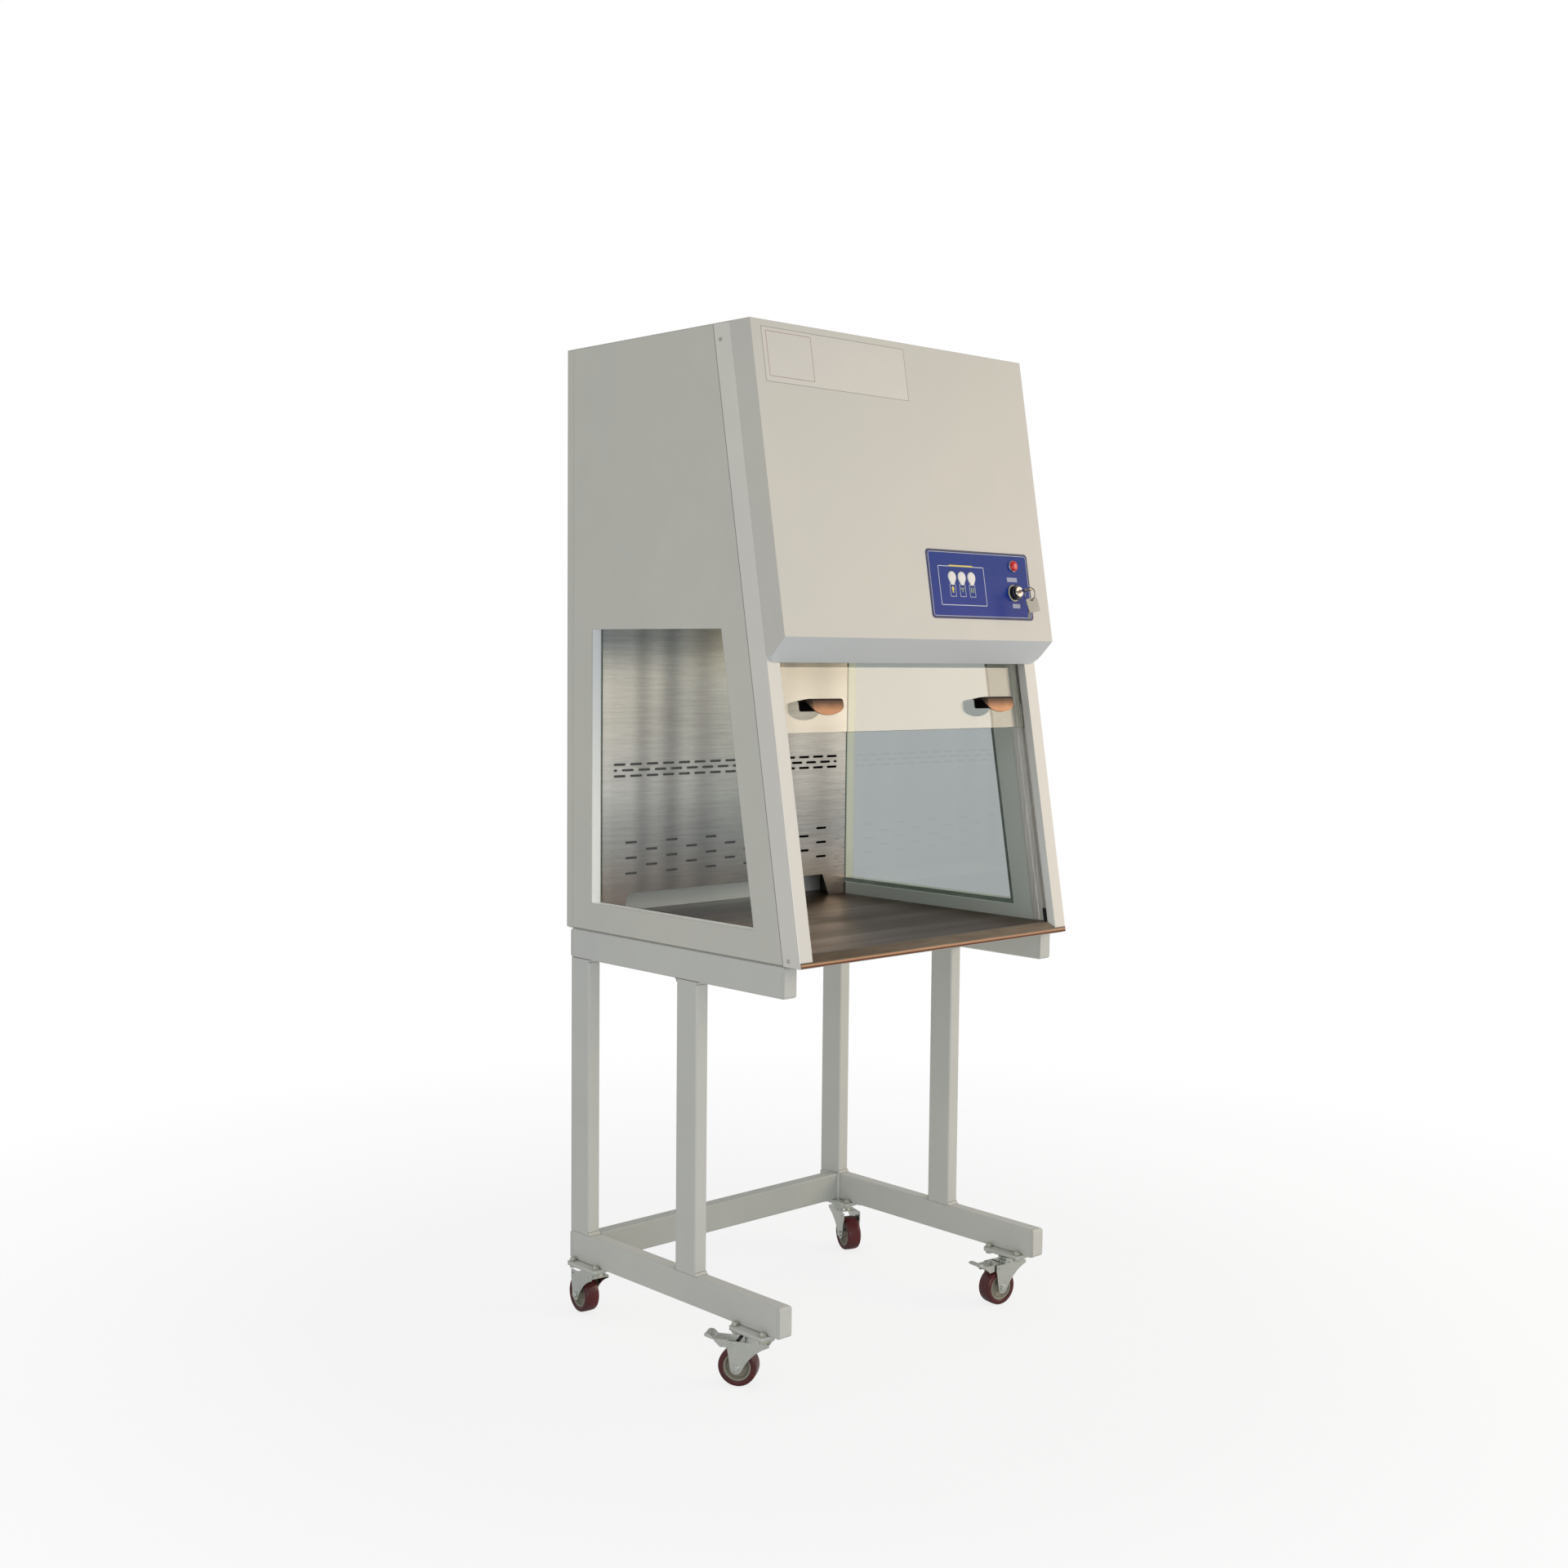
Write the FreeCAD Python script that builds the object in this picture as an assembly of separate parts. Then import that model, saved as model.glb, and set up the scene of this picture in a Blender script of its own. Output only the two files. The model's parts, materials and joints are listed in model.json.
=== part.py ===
import FreeCAD, Part
import math
import os

from FreeCAD import Vector

# PCR cabinet on a wheeled stand, in millimetres.
# +Z is up, the front is -Y and +X is to the right as seen from the front.
# The origin is on the floor under the middle of the whole outline, the brake pedals included.

# Overall size
cabinet_width = 750.0
cabinet_depth = 700.0
cabinet_height = 1170.0
stand_height = 800.0
slant_deg = 10.0

# The front left brake pedal stands out to the side, so the middle of the outline is left of the
# middle of the cabinet. Everything is drawn about the cabinet and moved over by this much.
outline_shift = 17.9

# Sheet metal
sheet = 1.5
seam = 0.3
side_wall = 30.0
rear_wrap = 20.0

# Front corner strips
strip_face = 32.0
strip_side = 45.0
strip_return = 18.0

# Side windows
window_rear = 82.0
window_top = stand_height + 610.0
window_bottom = stand_height + 58.0
window_front = 114.0
window_lip = 10.0
pane_thickness = 5.0
gasket_thickness = 2.0

# Worktop
worktop_top = stand_height + 22.0
worktop_fold = 25.0
worktop_drop = 12.0
worktop_lip = 8.0
worktop_hem = 18.0
rib_width = 40.0
rib_spacing = 170.0

# Perforated back panel
back_panel_gap = 82.0
back_panel_sheet = 1.2
back_panel_top = stand_height + 680.0
back_panel_flange = 20.0
foot_height = 48.0
foot_width = 50.0
foot_flare = 19.0
slot_length = 31.0
slot_width = 5.0
upper_slot_z = stand_height + 324.0
upper_slot_rows = 12.0
upper_slot_pitch = 43.0
upper_slot_reach = cabinet_width / 2 - 59.0
lower_slot_z = stand_height + 143.0
lower_slot_rows = 32.0
lower_slot_pitch = 54.0
lower_slot_side = 5

# Sash, in the slanted frame of the front
sash_thickness = 5.0
sash_length = 560.0
sash_bottom = stand_height + 419.0
sash_edge = 2.0
sash_play = 0.3
track_width = 10.0
track_depth = 9.0
track_web = 2.0
guide_land = 10.0
guide_flange = 13.0
guide_margin = 20.0
sash_raise = 60.0
glider_length = 50.0
glider_grip = 4.0
stop_length = 24.5
pull_spacing = 486.0
pull_width = 93.0
pull_height = 31.0
pull_depth = 33.0
pull_base = 19.0
pull_wall = 3.0
pull_rise = 28.6

# Hood over the upper front
hood_proud = 54.2
hood_front_bottom = stand_height + 595.0
hood_lip = stand_height + 548.0
hood_corner = 20.0

# Control plate on the hood
plate_width = 301.0
plate_right = cabinet_width / 2 - 53.0
plate_left = plate_right - plate_width
plate_rise = 32.6
plate_height = 136.0
plate_thickness = 1.2
plate_corner = 8.0
key_wide_radius = 11.4
key_narrow_radius = 6.6
key_centres = 10.0
key_proud = 2.4
key_bevel = 1.0
key_travel = 1.0
key_gap = 0.5
key_rim = 2.0
key_stem = 3.0
key_x = (cabinet_width / 2 - 287.4, cabinet_width / 2 - 259.0, cabinet_width / 2 - 230.6)
key_rise = 79.7
lamp_x = cabinet_width / 2 - 100.0
lamp_rise = 110.2
lamp_radius = 10.0
lamp_bezel = 12.0
lamp_bezel_height = 2.5
lamp_seat = 0.8
lamp_dome = 8.0
lamp_neck = 8.0
lamp_body = 28.0
lock_x = cabinet_width / 2 - 105.0
lock_rise = 55.2
legend_radius = 17.0
legend_sheet = 0.8
lock_body_radius = 15.0
lock_body_height = 10.2
lock_rear = 34.0
lock_neck = 11.0
lock_nut_radius = 15.0
lock_nut = 4.0
barrel_radius = 8.0
barrel_proud = 4.5
barrel_flange = 11.5
turn_clearance = 0.05
key_blade_width = 8.0
key_blade_depth = 22.0
key_sheet = 2.2
bow_width = 23.0
bow_length = 27.0
bow_corner = 9.0
bow_hole = 6.0
bow_rim = 3.0
ring_inner = 12.0
ring_section = 1.6
ring_drop = 9.8
tag_width = 24.0
tag_height = 30.0
tag_sheet = 1.6
tag_lean = 22.0
tag_twist = 28.0
spare_width = 15.0
spare_bow = 17.0
spare_length = 42.0
spare_blade = 7.0
board_sheet = 1.6
board_standoff = 7.0
board_margin = 32.0
board_reach = 30.0

# Upper compartment
ceiling_z = stand_height + 650.0
filter_box_setback = 59.8
filter_box_height = 138.5
filter_ledge = 30.0
filter_height = 70.0
filter_frame = 18.0
filter_clearance = 1.0
pleat_pitch = 24.0
pleat_sheet = 2.0
baffle_offset = 34.0
baffle_lap = 20.0
screen_columns = 8
screen_rows = 4
screen_slot = (66.0, 14.0)
tube_radius = 8.0
tube_length = 530.0
tube_drop = 18.0
uv_from_panel = 24.0
lamp_from_box = 12.0
holder = (18.0, 24.0, 30.0)
blower_axis = (60.0, stand_height + 952.0)
blower_width = 136.0
wheel_radius = 88.0
wheel_width = 116.0
wheel_hub = 40.0
blade_count = 24
blade_sheet = 1.5
blade_chord = 17.0
blade_margin = 1.5
blade_lean = 9.0
ring_sheet = 2.0
scroll_start = 98.0
scroll_end = 142.0
inlet_radius = 62.0
shaft_radius = 5.0
motor_radius = 48.0
motor_length = 85.0
motor_gap = 14.0
intake_slot = (110.0, 9.0)
intake_count = 9
intake_pitch = 20.0

# Rear power inlet
inlet_x = cabinet_width / 2 - 125.0
inlet_z = stand_height + cabinet_height - 120.0
inlet_flange = (50.0, 28.0)
inlet_body = (30.0, 22.0)
inlet_socket = (24.0, 16.0)
inlet_depth = 16.0
inlet_pin = (2.0, 4.0, 12.0)
inlet_pin_drop = 4.0

# Stand
tube_width = 30.0
tube_height = 60.0
tube_wall = 2.0
tube_corner = 4.0
cap_length = 8.0
cap_radius = 7.0
rail_rear = 14.0
top_rail_front = 42.0
bottom_rail_front = 46.0
middle_leg_y = -33.0

# Casters
wheel_diameter = 75.0
tread_width = 32.0
tread_depth = 10.5
tread_chamfer = 4.0
caster_height = 105.0
caster_rear_y = cabinet_depth / 2 - 72.0
caster_front_y = 122.0 - cabinet_depth / 2
caster_trail = 36.0
mount_plate = 5.0
top_plate = 2.5
plate_size = (65.0, 95.0)
plate_bolts = (45.0, 76.0)
plate_round = 6.0
bolt_radius = 4.0
bolt_hole = 4.4
bolt_head = 5.3
nut_flat = 13.0
nut_height = 5.0
nut_dome = 4.0
race_radius = 28.0
race_depth = 4.7
cup_radius = 24.0
kingpin_radius = 5.0
kingpin_head = 8.5
kingpin_head_height = 4.0
fork_web_z = 85.0
fork_sheet = 3.0
fork_gap = 38.0
leg_sheet = 2.5
fork_nose = 27.0
fork_web_reach = 30.0
leg_reach = 53.0
axle_radius = 4.0
axle_boss = 11.5
axle_head = 4.5
axle_head_radius = 6.5
hub_bore_boss = 9.0
hub_web = 12.0
hub_rim = 28.0
pedal_pivot = (46.0, 81.0)
pedal_pin_radius = 2.5
pedal_width = 33.0
pedal_sheet = 2.0
pedal_reach = 100.0
pedal_tip = 96.0
pedal_shoe = 8.0

# Resting direction of each caster's trail, counted from +X towards +Y
caster_turn = {
    "front_left": 123.0,
    "front_right": 172.0,
    "rear_left": 83.0,
    "rear_right": 250.3,
}

# Case screws
screw_radius = 2.0
screw_hole = 2.2
screw_head_radius = 3.8
screw_head = 2.2
screw_length = 10.0
strip_screw_offset = 29.0
strip_screw_low = stand_height + 12.2
strip_screw_high = stand_height + cabinet_height - 31.2
rear_screw_inset = 13.0
rear_screw_rows = 4

# Derived places
half_width = cabinet_width / 2
front_y = -cabinet_depth / 2
rear_y = cabinet_depth / 2
cabinet_top = stand_height + cabinet_height
panel_top = cabinet_top - sheet
floor_z = stand_height + sheet + seam
inner_half = half_width - side_wall
liner_half = inner_half - seam
slant = math.radians(slant_deg)
back_panel_y = rear_y - back_panel_gap
track_front = strip_return + seam + track_web
track_rear = track_front + track_width
guide_flange_front = track_rear + guide_land
guide_flange_rear = guide_flange_front + guide_flange
sash_offset = track_front + (track_width - sash_thickness) / 2
hood_face = -hood_proud
plate_face = hood_face - plate_thickness


def outline(points):
    """Closed wire through 2-D points."""
    corners = [Vector(u, v, 0) for u, v in points]
    return Part.makePolygon(corners + corners[:1])


def grow(points, distance):
    """Corners of a convex outline whose sides are moved outwards by a distance."""
    count = len(points)
    area = sum(
        points[i][0] * points[(i + 1) % count][1] - points[(i + 1) % count][0] * points[i][1]
        for i in range(count)
    )
    turn = 1 if area > 0 else -1
    lines = []
    for i in range(count):
        (u0, v0), (u1, v1) = points[i], points[(i + 1) % count]
        length = math.hypot(u1 - u0, v1 - v0)
        normal = (turn * (v1 - v0) / length, -turn * (u1 - u0) / length)
        lines.append((normal, normal[0] * u0 + normal[1] * v0 + distance))
    corners = []
    for i in range(count):
        (a, c), (b, d) = lines[i - 1], lines[i]
        cross = a[0] * b[1] - a[1] * b[0]
        corners.append(((c * b[1] - d * a[1]) / cross, (a[0] * d - b[0] * c) / cross))
    return corners


def rounded(width, height, radius, centre=(0.0, 0.0)):
    """Closed wire of a rectangle with round corners."""
    cu, cv = centre
    a, b = width / 2, height / 2
    r = min(radius, a - 0.01, b - 0.01)
    k = r * (1 - math.sqrt(0.5))
    edges = []
    for su, sv in ((1, -1), (1, 1), (-1, 1), (-1, -1)):
        before = (cu + su * (a - r), cv + sv * b)
        middle = (cu + su * (a - k), cv + sv * (b - k))
        after = (cu + su * a, cv + sv * (b - r))
        if su * sv > 0:
            before, after = after, before
        edges.append([Vector(u, v, 0) for u, v in (before, middle, after)])
    wire = []
    for i, (start, middle, end) in enumerate(edges):
        wire.append(Part.Arc(start, middle, end).toShape())
        following = edges[(i + 1) % 4][0]
        wire.append(Part.LineSegment(end, following).toShape())
    return Part.Wire(wire)


def circle(radius, centre=(0.0, 0.0)):
    """Closed circular wire."""
    return Part.Wire(Part.makeCircle(radius, Vector(centre[0], centre[1], 0)))


def obround(length, width, centre, limits=None):
    """Slot outline along the first axis, with round ends, cut off at limits."""
    left = centre[0] - length / 2
    right = centre[0] + length / 2
    if limits:
        left = max(left, limits[0])
        right = min(right, limits[1])
    return rounded(right - left, width, width / 2 - 0.02, ((left + right) / 2, centre[1]))


TO_AXIS = {
    "x": FreeCAD.Placement(Vector(), FreeCAD.Rotation(Vector(1, 1, 1), 120)),
    "y": FreeCAD.Placement(Vector(), FreeCAD.Rotation(Vector(1, 0, 0), 90)),
    "z": FreeCAD.Placement(),
}


def place(shape, placement):
    """Copy of a shape moved by a placement."""
    moved = shape.copy()
    moved.Placement = placement.multiply(shape.Placement)
    return moved


def extrude(wires, axis, start, end):
    """Flat outline, with the wires after the first as holes, pulled along one axis.

    The outline's two directions are Y and Z for x, X and Z for y, X and Y for z.
    """
    face = Part.makeFace(wires, "Part::FaceMakerBullseye")
    low, high = (-end, -start) if axis == "y" else (start, end)
    solid = face.extrude(Vector(0, 0, high - low))
    solid.translate(Vector(0, 0, low))
    return place(solid, TO_AXIS[axis])


def box(x, y, z):
    """Block between pairs of limits."""
    return Part.makeBox(x[1] - x[0], y[1] - y[0], z[1] - z[0], Vector(x[0], y[0], z[0]))


def cylinder(radius, start, end, axis, centre):
    """Round bar along an axis, between start and end, at a centre in the other two directions."""
    return extrude([circle(radius, centre)], axis, start, end)


def revolved(profile, centre, direction):
    """Body turned from (radius, height) points about a line through a centre."""
    wire = Part.makePolygon([Vector(r, 0, h) for r, h in profile + profile[:1]])
    solid = Part.Face(wire).revolve(Vector(), Vector(0, 0, 1), 360)
    rotation = FreeCAD.Rotation(Vector(0, 0, 1), direction)
    return place(solid, FreeCAD.Placement(centre, rotation))


def mirrored(shape):
    """The same piece on the other side of the cabinet."""
    return shape.mirror(Vector(), Vector(1, 0, 0))


def both_sides(shape):
    return [shape, mirrored(shape)]


def front_plane_y(z, offset=0.0):
    """Depth of the slanted front plane at a height, or of a plane that far behind it."""
    return front_y + (z - stand_height) * math.tan(slant) + offset / math.cos(slant)


def along(z, offset=0.0):
    """Distance up the slant of the point at a height, on the plane at an offset."""
    return (z - stand_height + offset * math.sin(slant)) / math.cos(slant)


# Slanted frame: X stays, the second direction goes in through the front, the third goes up it.
SLANTED = FreeCAD.Placement(
    Vector(0, front_y, stand_height),
    FreeCAD.Rotation(Vector(1, 0, 0), -slant_deg),
)


def on_slant(shape):
    return place(shape, SLANTED)


# Heights on the control plate, measured up the slant
plate_bottom = along(hood_front_bottom) + plate_rise
key_along = plate_bottom + key_rise
lamp_along = plate_bottom + lamp_rise
lock_along = plate_bottom + lock_rise


def export(name, pieces):
    """Write one node: a single solid, or a group of separate solids."""
    shape = (pieces[0] if len(pieces) == 1 else Part.makeCompound(pieces)).copy()
    shape.translate(Vector(outline_shift, 0, 0))
    bad = [piece for piece in pieces if not piece.isValid() or piece.Volume <= 0]
    if bad:
        print("bad solid in", name)
    shape.exportStep("parts/" + name + ".step")
    print(f"{name}: {len(shape.Solids)} solids, {shape.Volume / 1000:.1f} cm3")


def fused(first, others):
    return first.fuse(others).removeSplitter()


# Stand of rectangular tube
rail_x = half_width - tube_width / 2
rail_back = rear_y - rail_rear
bottom_rail_low = caster_height + mount_plate
bottom_rail_high = bottom_rail_low + tube_height
top_rail_low = stand_height - tube_height
rear_leg_y = rail_back - tube_height / 2
crossbar_front = rail_back - tube_height


def tube_section(width, height, centre):
    """Outer and inner outline of the stand tube."""
    inner = max(tube_corner - tube_wall, 0.5)
    return [
        rounded(width, height, tube_corner, centre),
        rounded(width - 2 * tube_wall, height - 2 * tube_wall, inner, centre),
    ]


def leg(x, y):
    wires = tube_section(tube_width, tube_height, (x, y))
    return extrude(wires, "z", bottom_rail_high, top_rail_low)


def rail(x, low, front):
    wires = tube_section(tube_width, tube_height, (x, low + tube_height / 2))
    return extrude(wires, "y", front + cap_length, rail_back - cap_length)


def crossbar(low):
    wires = tube_section(tube_width, tube_height, (crossbar_front + tube_width / 2, low + tube_height / 2))
    return extrude(wires, "x", -rail_x + tube_width / 2, rail_x - tube_width / 2)


def rail_cap(x, low, end, sign):
    """Closed end of a rail, rounded above and below."""
    middle = low + tube_height / 2
    root = end - sign * cap_length
    limits = sorted((root, end))
    across = extrude([rounded(tube_width, tube_height, tube_corner, (x, middle))], "y", *limits)
    depth = 4 * cap_length
    side = rounded(depth, tube_height, cap_radius, (end - sign * depth / 2, middle))
    return across.common(extrude([side], "x", x - tube_width, x + tube_width))


def make_stand():
    legs = []
    rails = []
    caps = []
    for x in (-rail_x, rail_x):
        legs += [leg(x, rear_leg_y), leg(x, middle_leg_y)]
        for low, inset in ((bottom_rail_low, bottom_rail_front), (top_rail_low, top_rail_front)):
            rails.append(rail(x, low, front_y + inset))
            caps.append(rail_cap(x, low, front_y + inset, -1))
            caps.append(rail_cap(x, low, rail_back, 1))
    export("stand_legs", legs)
    export("stand_rails", rails)
    export("stand_crossbars", [crossbar(bottom_rail_low), crossbar(top_rail_low)])
    export("rail_end_caps", caps)


# Casters
axle_z = wheel_diameter / 2
caster_places = {
    "front_left": (-rail_x, caster_front_y),
    "front_right": (rail_x, caster_front_y),
    "rear_left": (-rail_x, caster_rear_y),
    "rear_right": (rail_x, caster_rear_y),
}
top_plate_low = caster_height - top_plate
fork_half = fork_gap / 2


def plate_wires(x, y):
    """Caster plate outline with its four bolt holes."""
    wires = [rounded(plate_size[0], plate_size[1], plate_round, (x, y))]
    for sx in (-1, 1):
        for sy in (-1, 1):
            centre = (x + sx * plate_bolts[0] / 2, y + sy * plate_bolts[1] / 2)
            wires.append(circle(bolt_hole, centre))
    return wires


def caster_top(x, y):
    """Zinc plate with its race and the kingpin riveted under the fork."""
    plate = extrude(plate_wires(x, y), "z", top_plate_low, caster_height)
    race_low = top_plate_low - race_depth
    head_top = fork_web_z - seam
    pin = revolved(
        [
            (0, top_plate_low),
            (race_radius, top_plate_low),
            (race_radius - race_depth / 2, race_low),
            (kingpin_radius, race_low),
            (kingpin_radius, head_top),
            (kingpin_head, head_top),
            (kingpin_head - 2, head_top - kingpin_head_height),
            (0, head_top - kingpin_head_height),
        ],
        Vector(x, y, 0),
        Vector(0, 0, 1),
    )
    return fused(plate, [pin])


def hexagon(flat, centre):
    radius = flat / math.sqrt(3)
    cu, cv = centre
    corners = [(cu + radius * math.cos(math.pi * i / 3), cv + radius * math.sin(math.pi * i / 3)) for i in range(6)]
    return outline(corners)


def plate_fastener(x, y):
    """Hexagon bolt up through both plates, held by a domed nut as two solids."""
    nut_low = bottom_rail_low
    head = extrude([hexagon(nut_flat, (x, y))], "z", top_plate_low - bolt_head, top_plate_low)
    shank = cylinder(bolt_radius, top_plate_low, nut_low + nut_height, "z", (x, y))
    bolt = fused(head, [shank])
    nut = extrude([hexagon(nut_flat, (x, y)), circle(bolt_radius + turn_clearance, (x, y))], "z",
                  nut_low, nut_low + nut_height)
    dome_low = nut_low + nut_height
    dome_radius = nut_flat / 2
    dome = revolved(
        [
            (0, dome_low),
            (dome_radius, dome_low),
            (dome_radius * 0.8, dome_low + nut_dome * 0.6),
            (dome_radius * 0.35, dome_low + nut_dome),
            (0, dome_low + nut_dome),
        ],
        Vector(x, y, 0),
        Vector(0, 0, 1),
    )
    return [bolt, fused(nut, [dome])]


def turned(shape, name):
    """Piece drawn with its trail along +X and its kingpin on the Z axis, set in place."""
    x, y = caster_places[name]
    rotation = FreeCAD.Rotation(Vector(0, 0, 1), caster_turn[name])
    return place(shape, FreeCAD.Placement(Vector(x, y, 0), rotation))


def fork_leg(side):
    """Leg that narrows from the web to a round boss at the axle, swept back on the nose side."""
    top = fork_web_z + fork_sheet
    lean = math.radians(200)
    tangent = Vector(caster_trail + axle_boss * math.cos(lean), axle_z + axle_boss * math.sin(lean), 0)
    bottom = Vector(caster_trail, axle_z - axle_boss, 0)
    front = Vector(caster_trail + axle_boss, axle_z, 0)
    nose = Vector(-fork_nose, fork_web_z - fork_sheet, 0)
    bend = (nose + tangent) * 0.5 + Vector(5, 5, 0)
    shoulder = Vector(leg_reach, fork_web_z - 13, 0)
    edges = [
        Part.LineSegment(Vector(-fork_nose, top, 0), nose).toShape(),
        Part.Arc(nose, bend, tangent).toShape(),
        Part.Arc(tangent, bottom, front).toShape(),
        Part.LineSegment(front, shoulder).toShape(),
        Part.LineSegment(shoulder, Vector(leg_reach, top, 0)).toShape(),
        Part.LineSegment(Vector(leg_reach, top, 0), Vector(-fork_nose, top, 0)).toShape(),
    ]
    holes = [
        circle(axle_radius + turn_clearance, (caster_trail, axle_z)),
        circle(pedal_pin_radius + turn_clearance, pedal_pivot),
    ]
    near, far = sorted((side * fork_half, side * (fork_half + leg_sheet)))
    return extrude([Part.Wire(edges)] + holes, "y", near, far)


def fork():
    """Pressed fork: web with the ball cup, and two legs."""
    top = fork_web_z + fork_sheet
    bore = kingpin_radius + turn_clearance
    length = fork_nose + fork_web_reach
    middle = (fork_web_reach - fork_nose) / 2
    width = fork_gap + 2 * leg_sheet
    web_outline = outline([
        (middle - length / 2, -width / 2),
        (middle + length / 2, -width / 2),
        (middle + length / 2, width / 2),
        (middle - length / 2, width / 2),
    ])
    web = extrude([web_outline, circle(bore)], "z", fork_web_z, top)
    race_low = top_plate_low - race_depth
    cup = extrude([circle(cup_radius), circle(bore)], "z", top, race_low - seam)
    return fused(web, [cup, fork_leg(-1), fork_leg(1)])


def axle():
    """Axle bolt with a round head at each end."""
    reach = fork_half + leg_sheet
    profile = [
        (0, -reach - axle_head),
        (axle_head_radius - 1.5, -reach - axle_head),
        (axle_head_radius, -reach - axle_head + 1.5),
        (axle_head_radius, -reach),
        (axle_radius, -reach),
        (axle_radius, reach),
        (axle_head_radius, reach),
        (axle_head_radius, reach + axle_head - 1.5),
        (axle_head_radius - 1.5, reach + axle_head),
        (0, reach + axle_head),
    ]
    return revolved(profile, Vector(caster_trail, 0, axle_z), Vector(0, 1, 0))


def tread():
    outer = wheel_diameter / 2
    half = tread_width / 2
    inner = outer - tread_depth
    profile = [
        (inner, -half + 1),
        (inner + 3, -half),
        (outer - tread_chamfer, -half),
        (outer, -half + tread_chamfer),
        (outer, half - tread_chamfer),
        (outer - tread_chamfer, half),
        (inner + 3, half),
        (inner, half - 1),
    ]
    return revolved(profile, Vector(caster_trail, 0, axle_z), Vector(0, 1, 0))


def hub():
    """Core with a bearing boss that nearly fills the fork, and a dished web."""
    outer = wheel_diameter / 2 - tread_depth
    half = hub_rim / 2
    boss = fork_half - seam
    profile = [
        (axle_radius + turn_clearance, -boss),
        (hub_bore_boss, -boss),
        (hub_bore_boss + 1, -hub_web / 2),
        (outer - 4, -hub_web / 2),
        (outer - 3, -half),
        (outer, -half),
        (outer, half),
        (outer - 3, half),
        (outer - 4, hub_web / 2),
        (hub_bore_boss + 1, hub_web / 2),
        (hub_bore_boss, boss),
        (axle_radius + turn_clearance, boss),
    ]
    return revolved(profile, Vector(caster_trail, 0, axle_z), Vector(0, 1, 0))


def brake_pedal():
    """Pedal between the fork legs, on a cross pin, with a shoe over the tread."""
    pivot_s, pivot_z = pedal_pivot
    half = pedal_width / 2
    top = fork_web_z + fork_sheet
    cheek = outline([
        (pivot_s - 8, top),
        (pivot_s - 8, pivot_z - 3),
        (pivot_s, pivot_z - 5),
        (pivot_s + 22, pivot_z - 8),
        (pivot_s + 34, top - 4),
        (pivot_s + 34, top),
    ])
    cheeks = [
        extrude([cheek], "y", -half, -half + pedal_sheet),
        extrude([cheek], "y", half - pedal_sheet, half),
    ]
    tread_plate = outline([
        (pivot_s - 8, top - pedal_sheet),
        (pedal_reach - 18, top - pedal_sheet),
        (pedal_reach - 2, pedal_tip - 5),
        (pedal_reach, pedal_tip - 2),
        (pedal_reach - 5, pedal_tip),
        (pedal_reach - 12, pedal_tip - 1),
        (pedal_reach - 20, top),
        (pivot_s - 8, top),
    ])
    plate = extrude([tread_plate], "y", -half, half)
    shoe = box((pivot_s + 7, pivot_s + 17), (-half + pedal_sheet, half - pedal_sheet),
               (pivot_z - pedal_shoe, top - pedal_sheet))
    reach = fork_half + leg_sheet + 1
    pin = cylinder(pedal_pin_radius, -reach, reach, "y", (pivot_s, pivot_z))
    return fused(plate, cheeks + [shoe, pin])


def make_casters():
    plates = []
    tops = []
    fasteners = []
    for x, y in caster_places.values():
        plates.append(extrude(plate_wires(x, y), "z", caster_height, bottom_rail_low))
        tops.append(caster_top(x, y))
        for sx in (-1, 1):
            for sy in (-1, 1):
                fasteners += plate_fastener(x + sx * plate_bolts[0] / 2, y + sy * plate_bolts[1] / 2)
    export("caster_mount_plates", plates)
    export("caster_top_plates", tops)
    export("caster_fasteners", fasteners)
    for name in caster_places:
        export(name + "_fork", [turned(fork(), name), turned(axle(), name)])
        export(name + "_tread", [turned(tread(), name)])
        export(name + "_hub", [turned(hub(), name)])
    for name in ("front_left", "front_right"):
        export(name + "_brake_pedal", [turned(brake_pedal(), name)])


# Cabinet walls
def window_outline():
    """Window opening seen from the side: square at the rear, slanted at the front."""
    rear = rear_y - window_rear
    return [
        (rear, window_bottom),
        (rear, window_top),
        (front_plane_y(window_top, window_front), window_top),
        (front_plane_y(window_bottom, window_front), window_bottom),
    ]


def wall_outline(rear, offset):
    """Side wall between a rear edge and a plane behind the slanted front."""
    return [
        (rear, floor_z),
        (rear, panel_top),
        (front_plane_y(panel_top, offset), panel_top),
        (front_plane_y(floor_z, offset), floor_z),
    ]


window = window_outline()
lip_x = inner_half + pane_thickness + gasket_thickness


def side_panel():
    """Outer skin with its edges and the window reveal folded inwards."""
    wall = wall_outline(rear_y - rear_wrap - seam, strip_side)
    opening = outline(window)
    skin = extrude([outline(wall), opening], "x", half_width - sheet, half_width)
    rim = extrude([outline(wall), outline(grow(wall, -sheet))], "x", inner_half + sheet, half_width - sheet)
    reveal = extrude([outline(grow(window, sheet)), opening], "x", lip_x, half_width - sheet)
    lip = extrude([outline(grow(window, window_lip)), opening], "x", lip_x, lip_x + sheet)
    return fused(skin, [rim, reveal, lip])


def inner_side_panel():
    wall = wall_outline(rear_y - sheet - seam, strip_side)
    opening = outline(grow(window, window_lip))
    return extrude([outline(wall), opening], "x", inner_half, inner_half + sheet)


def window_pane():
    pane = grow(window, window_lip - seam)
    return extrude([outline(pane)], "x", inner_half, inner_half + pane_thickness)


def window_gasket():
    edge = grow(window, window_lip - seam)
    start = inner_half + pane_thickness
    return extrude([outline(edge), outline(window)], "x", start, start + gasket_thickness)


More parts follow.
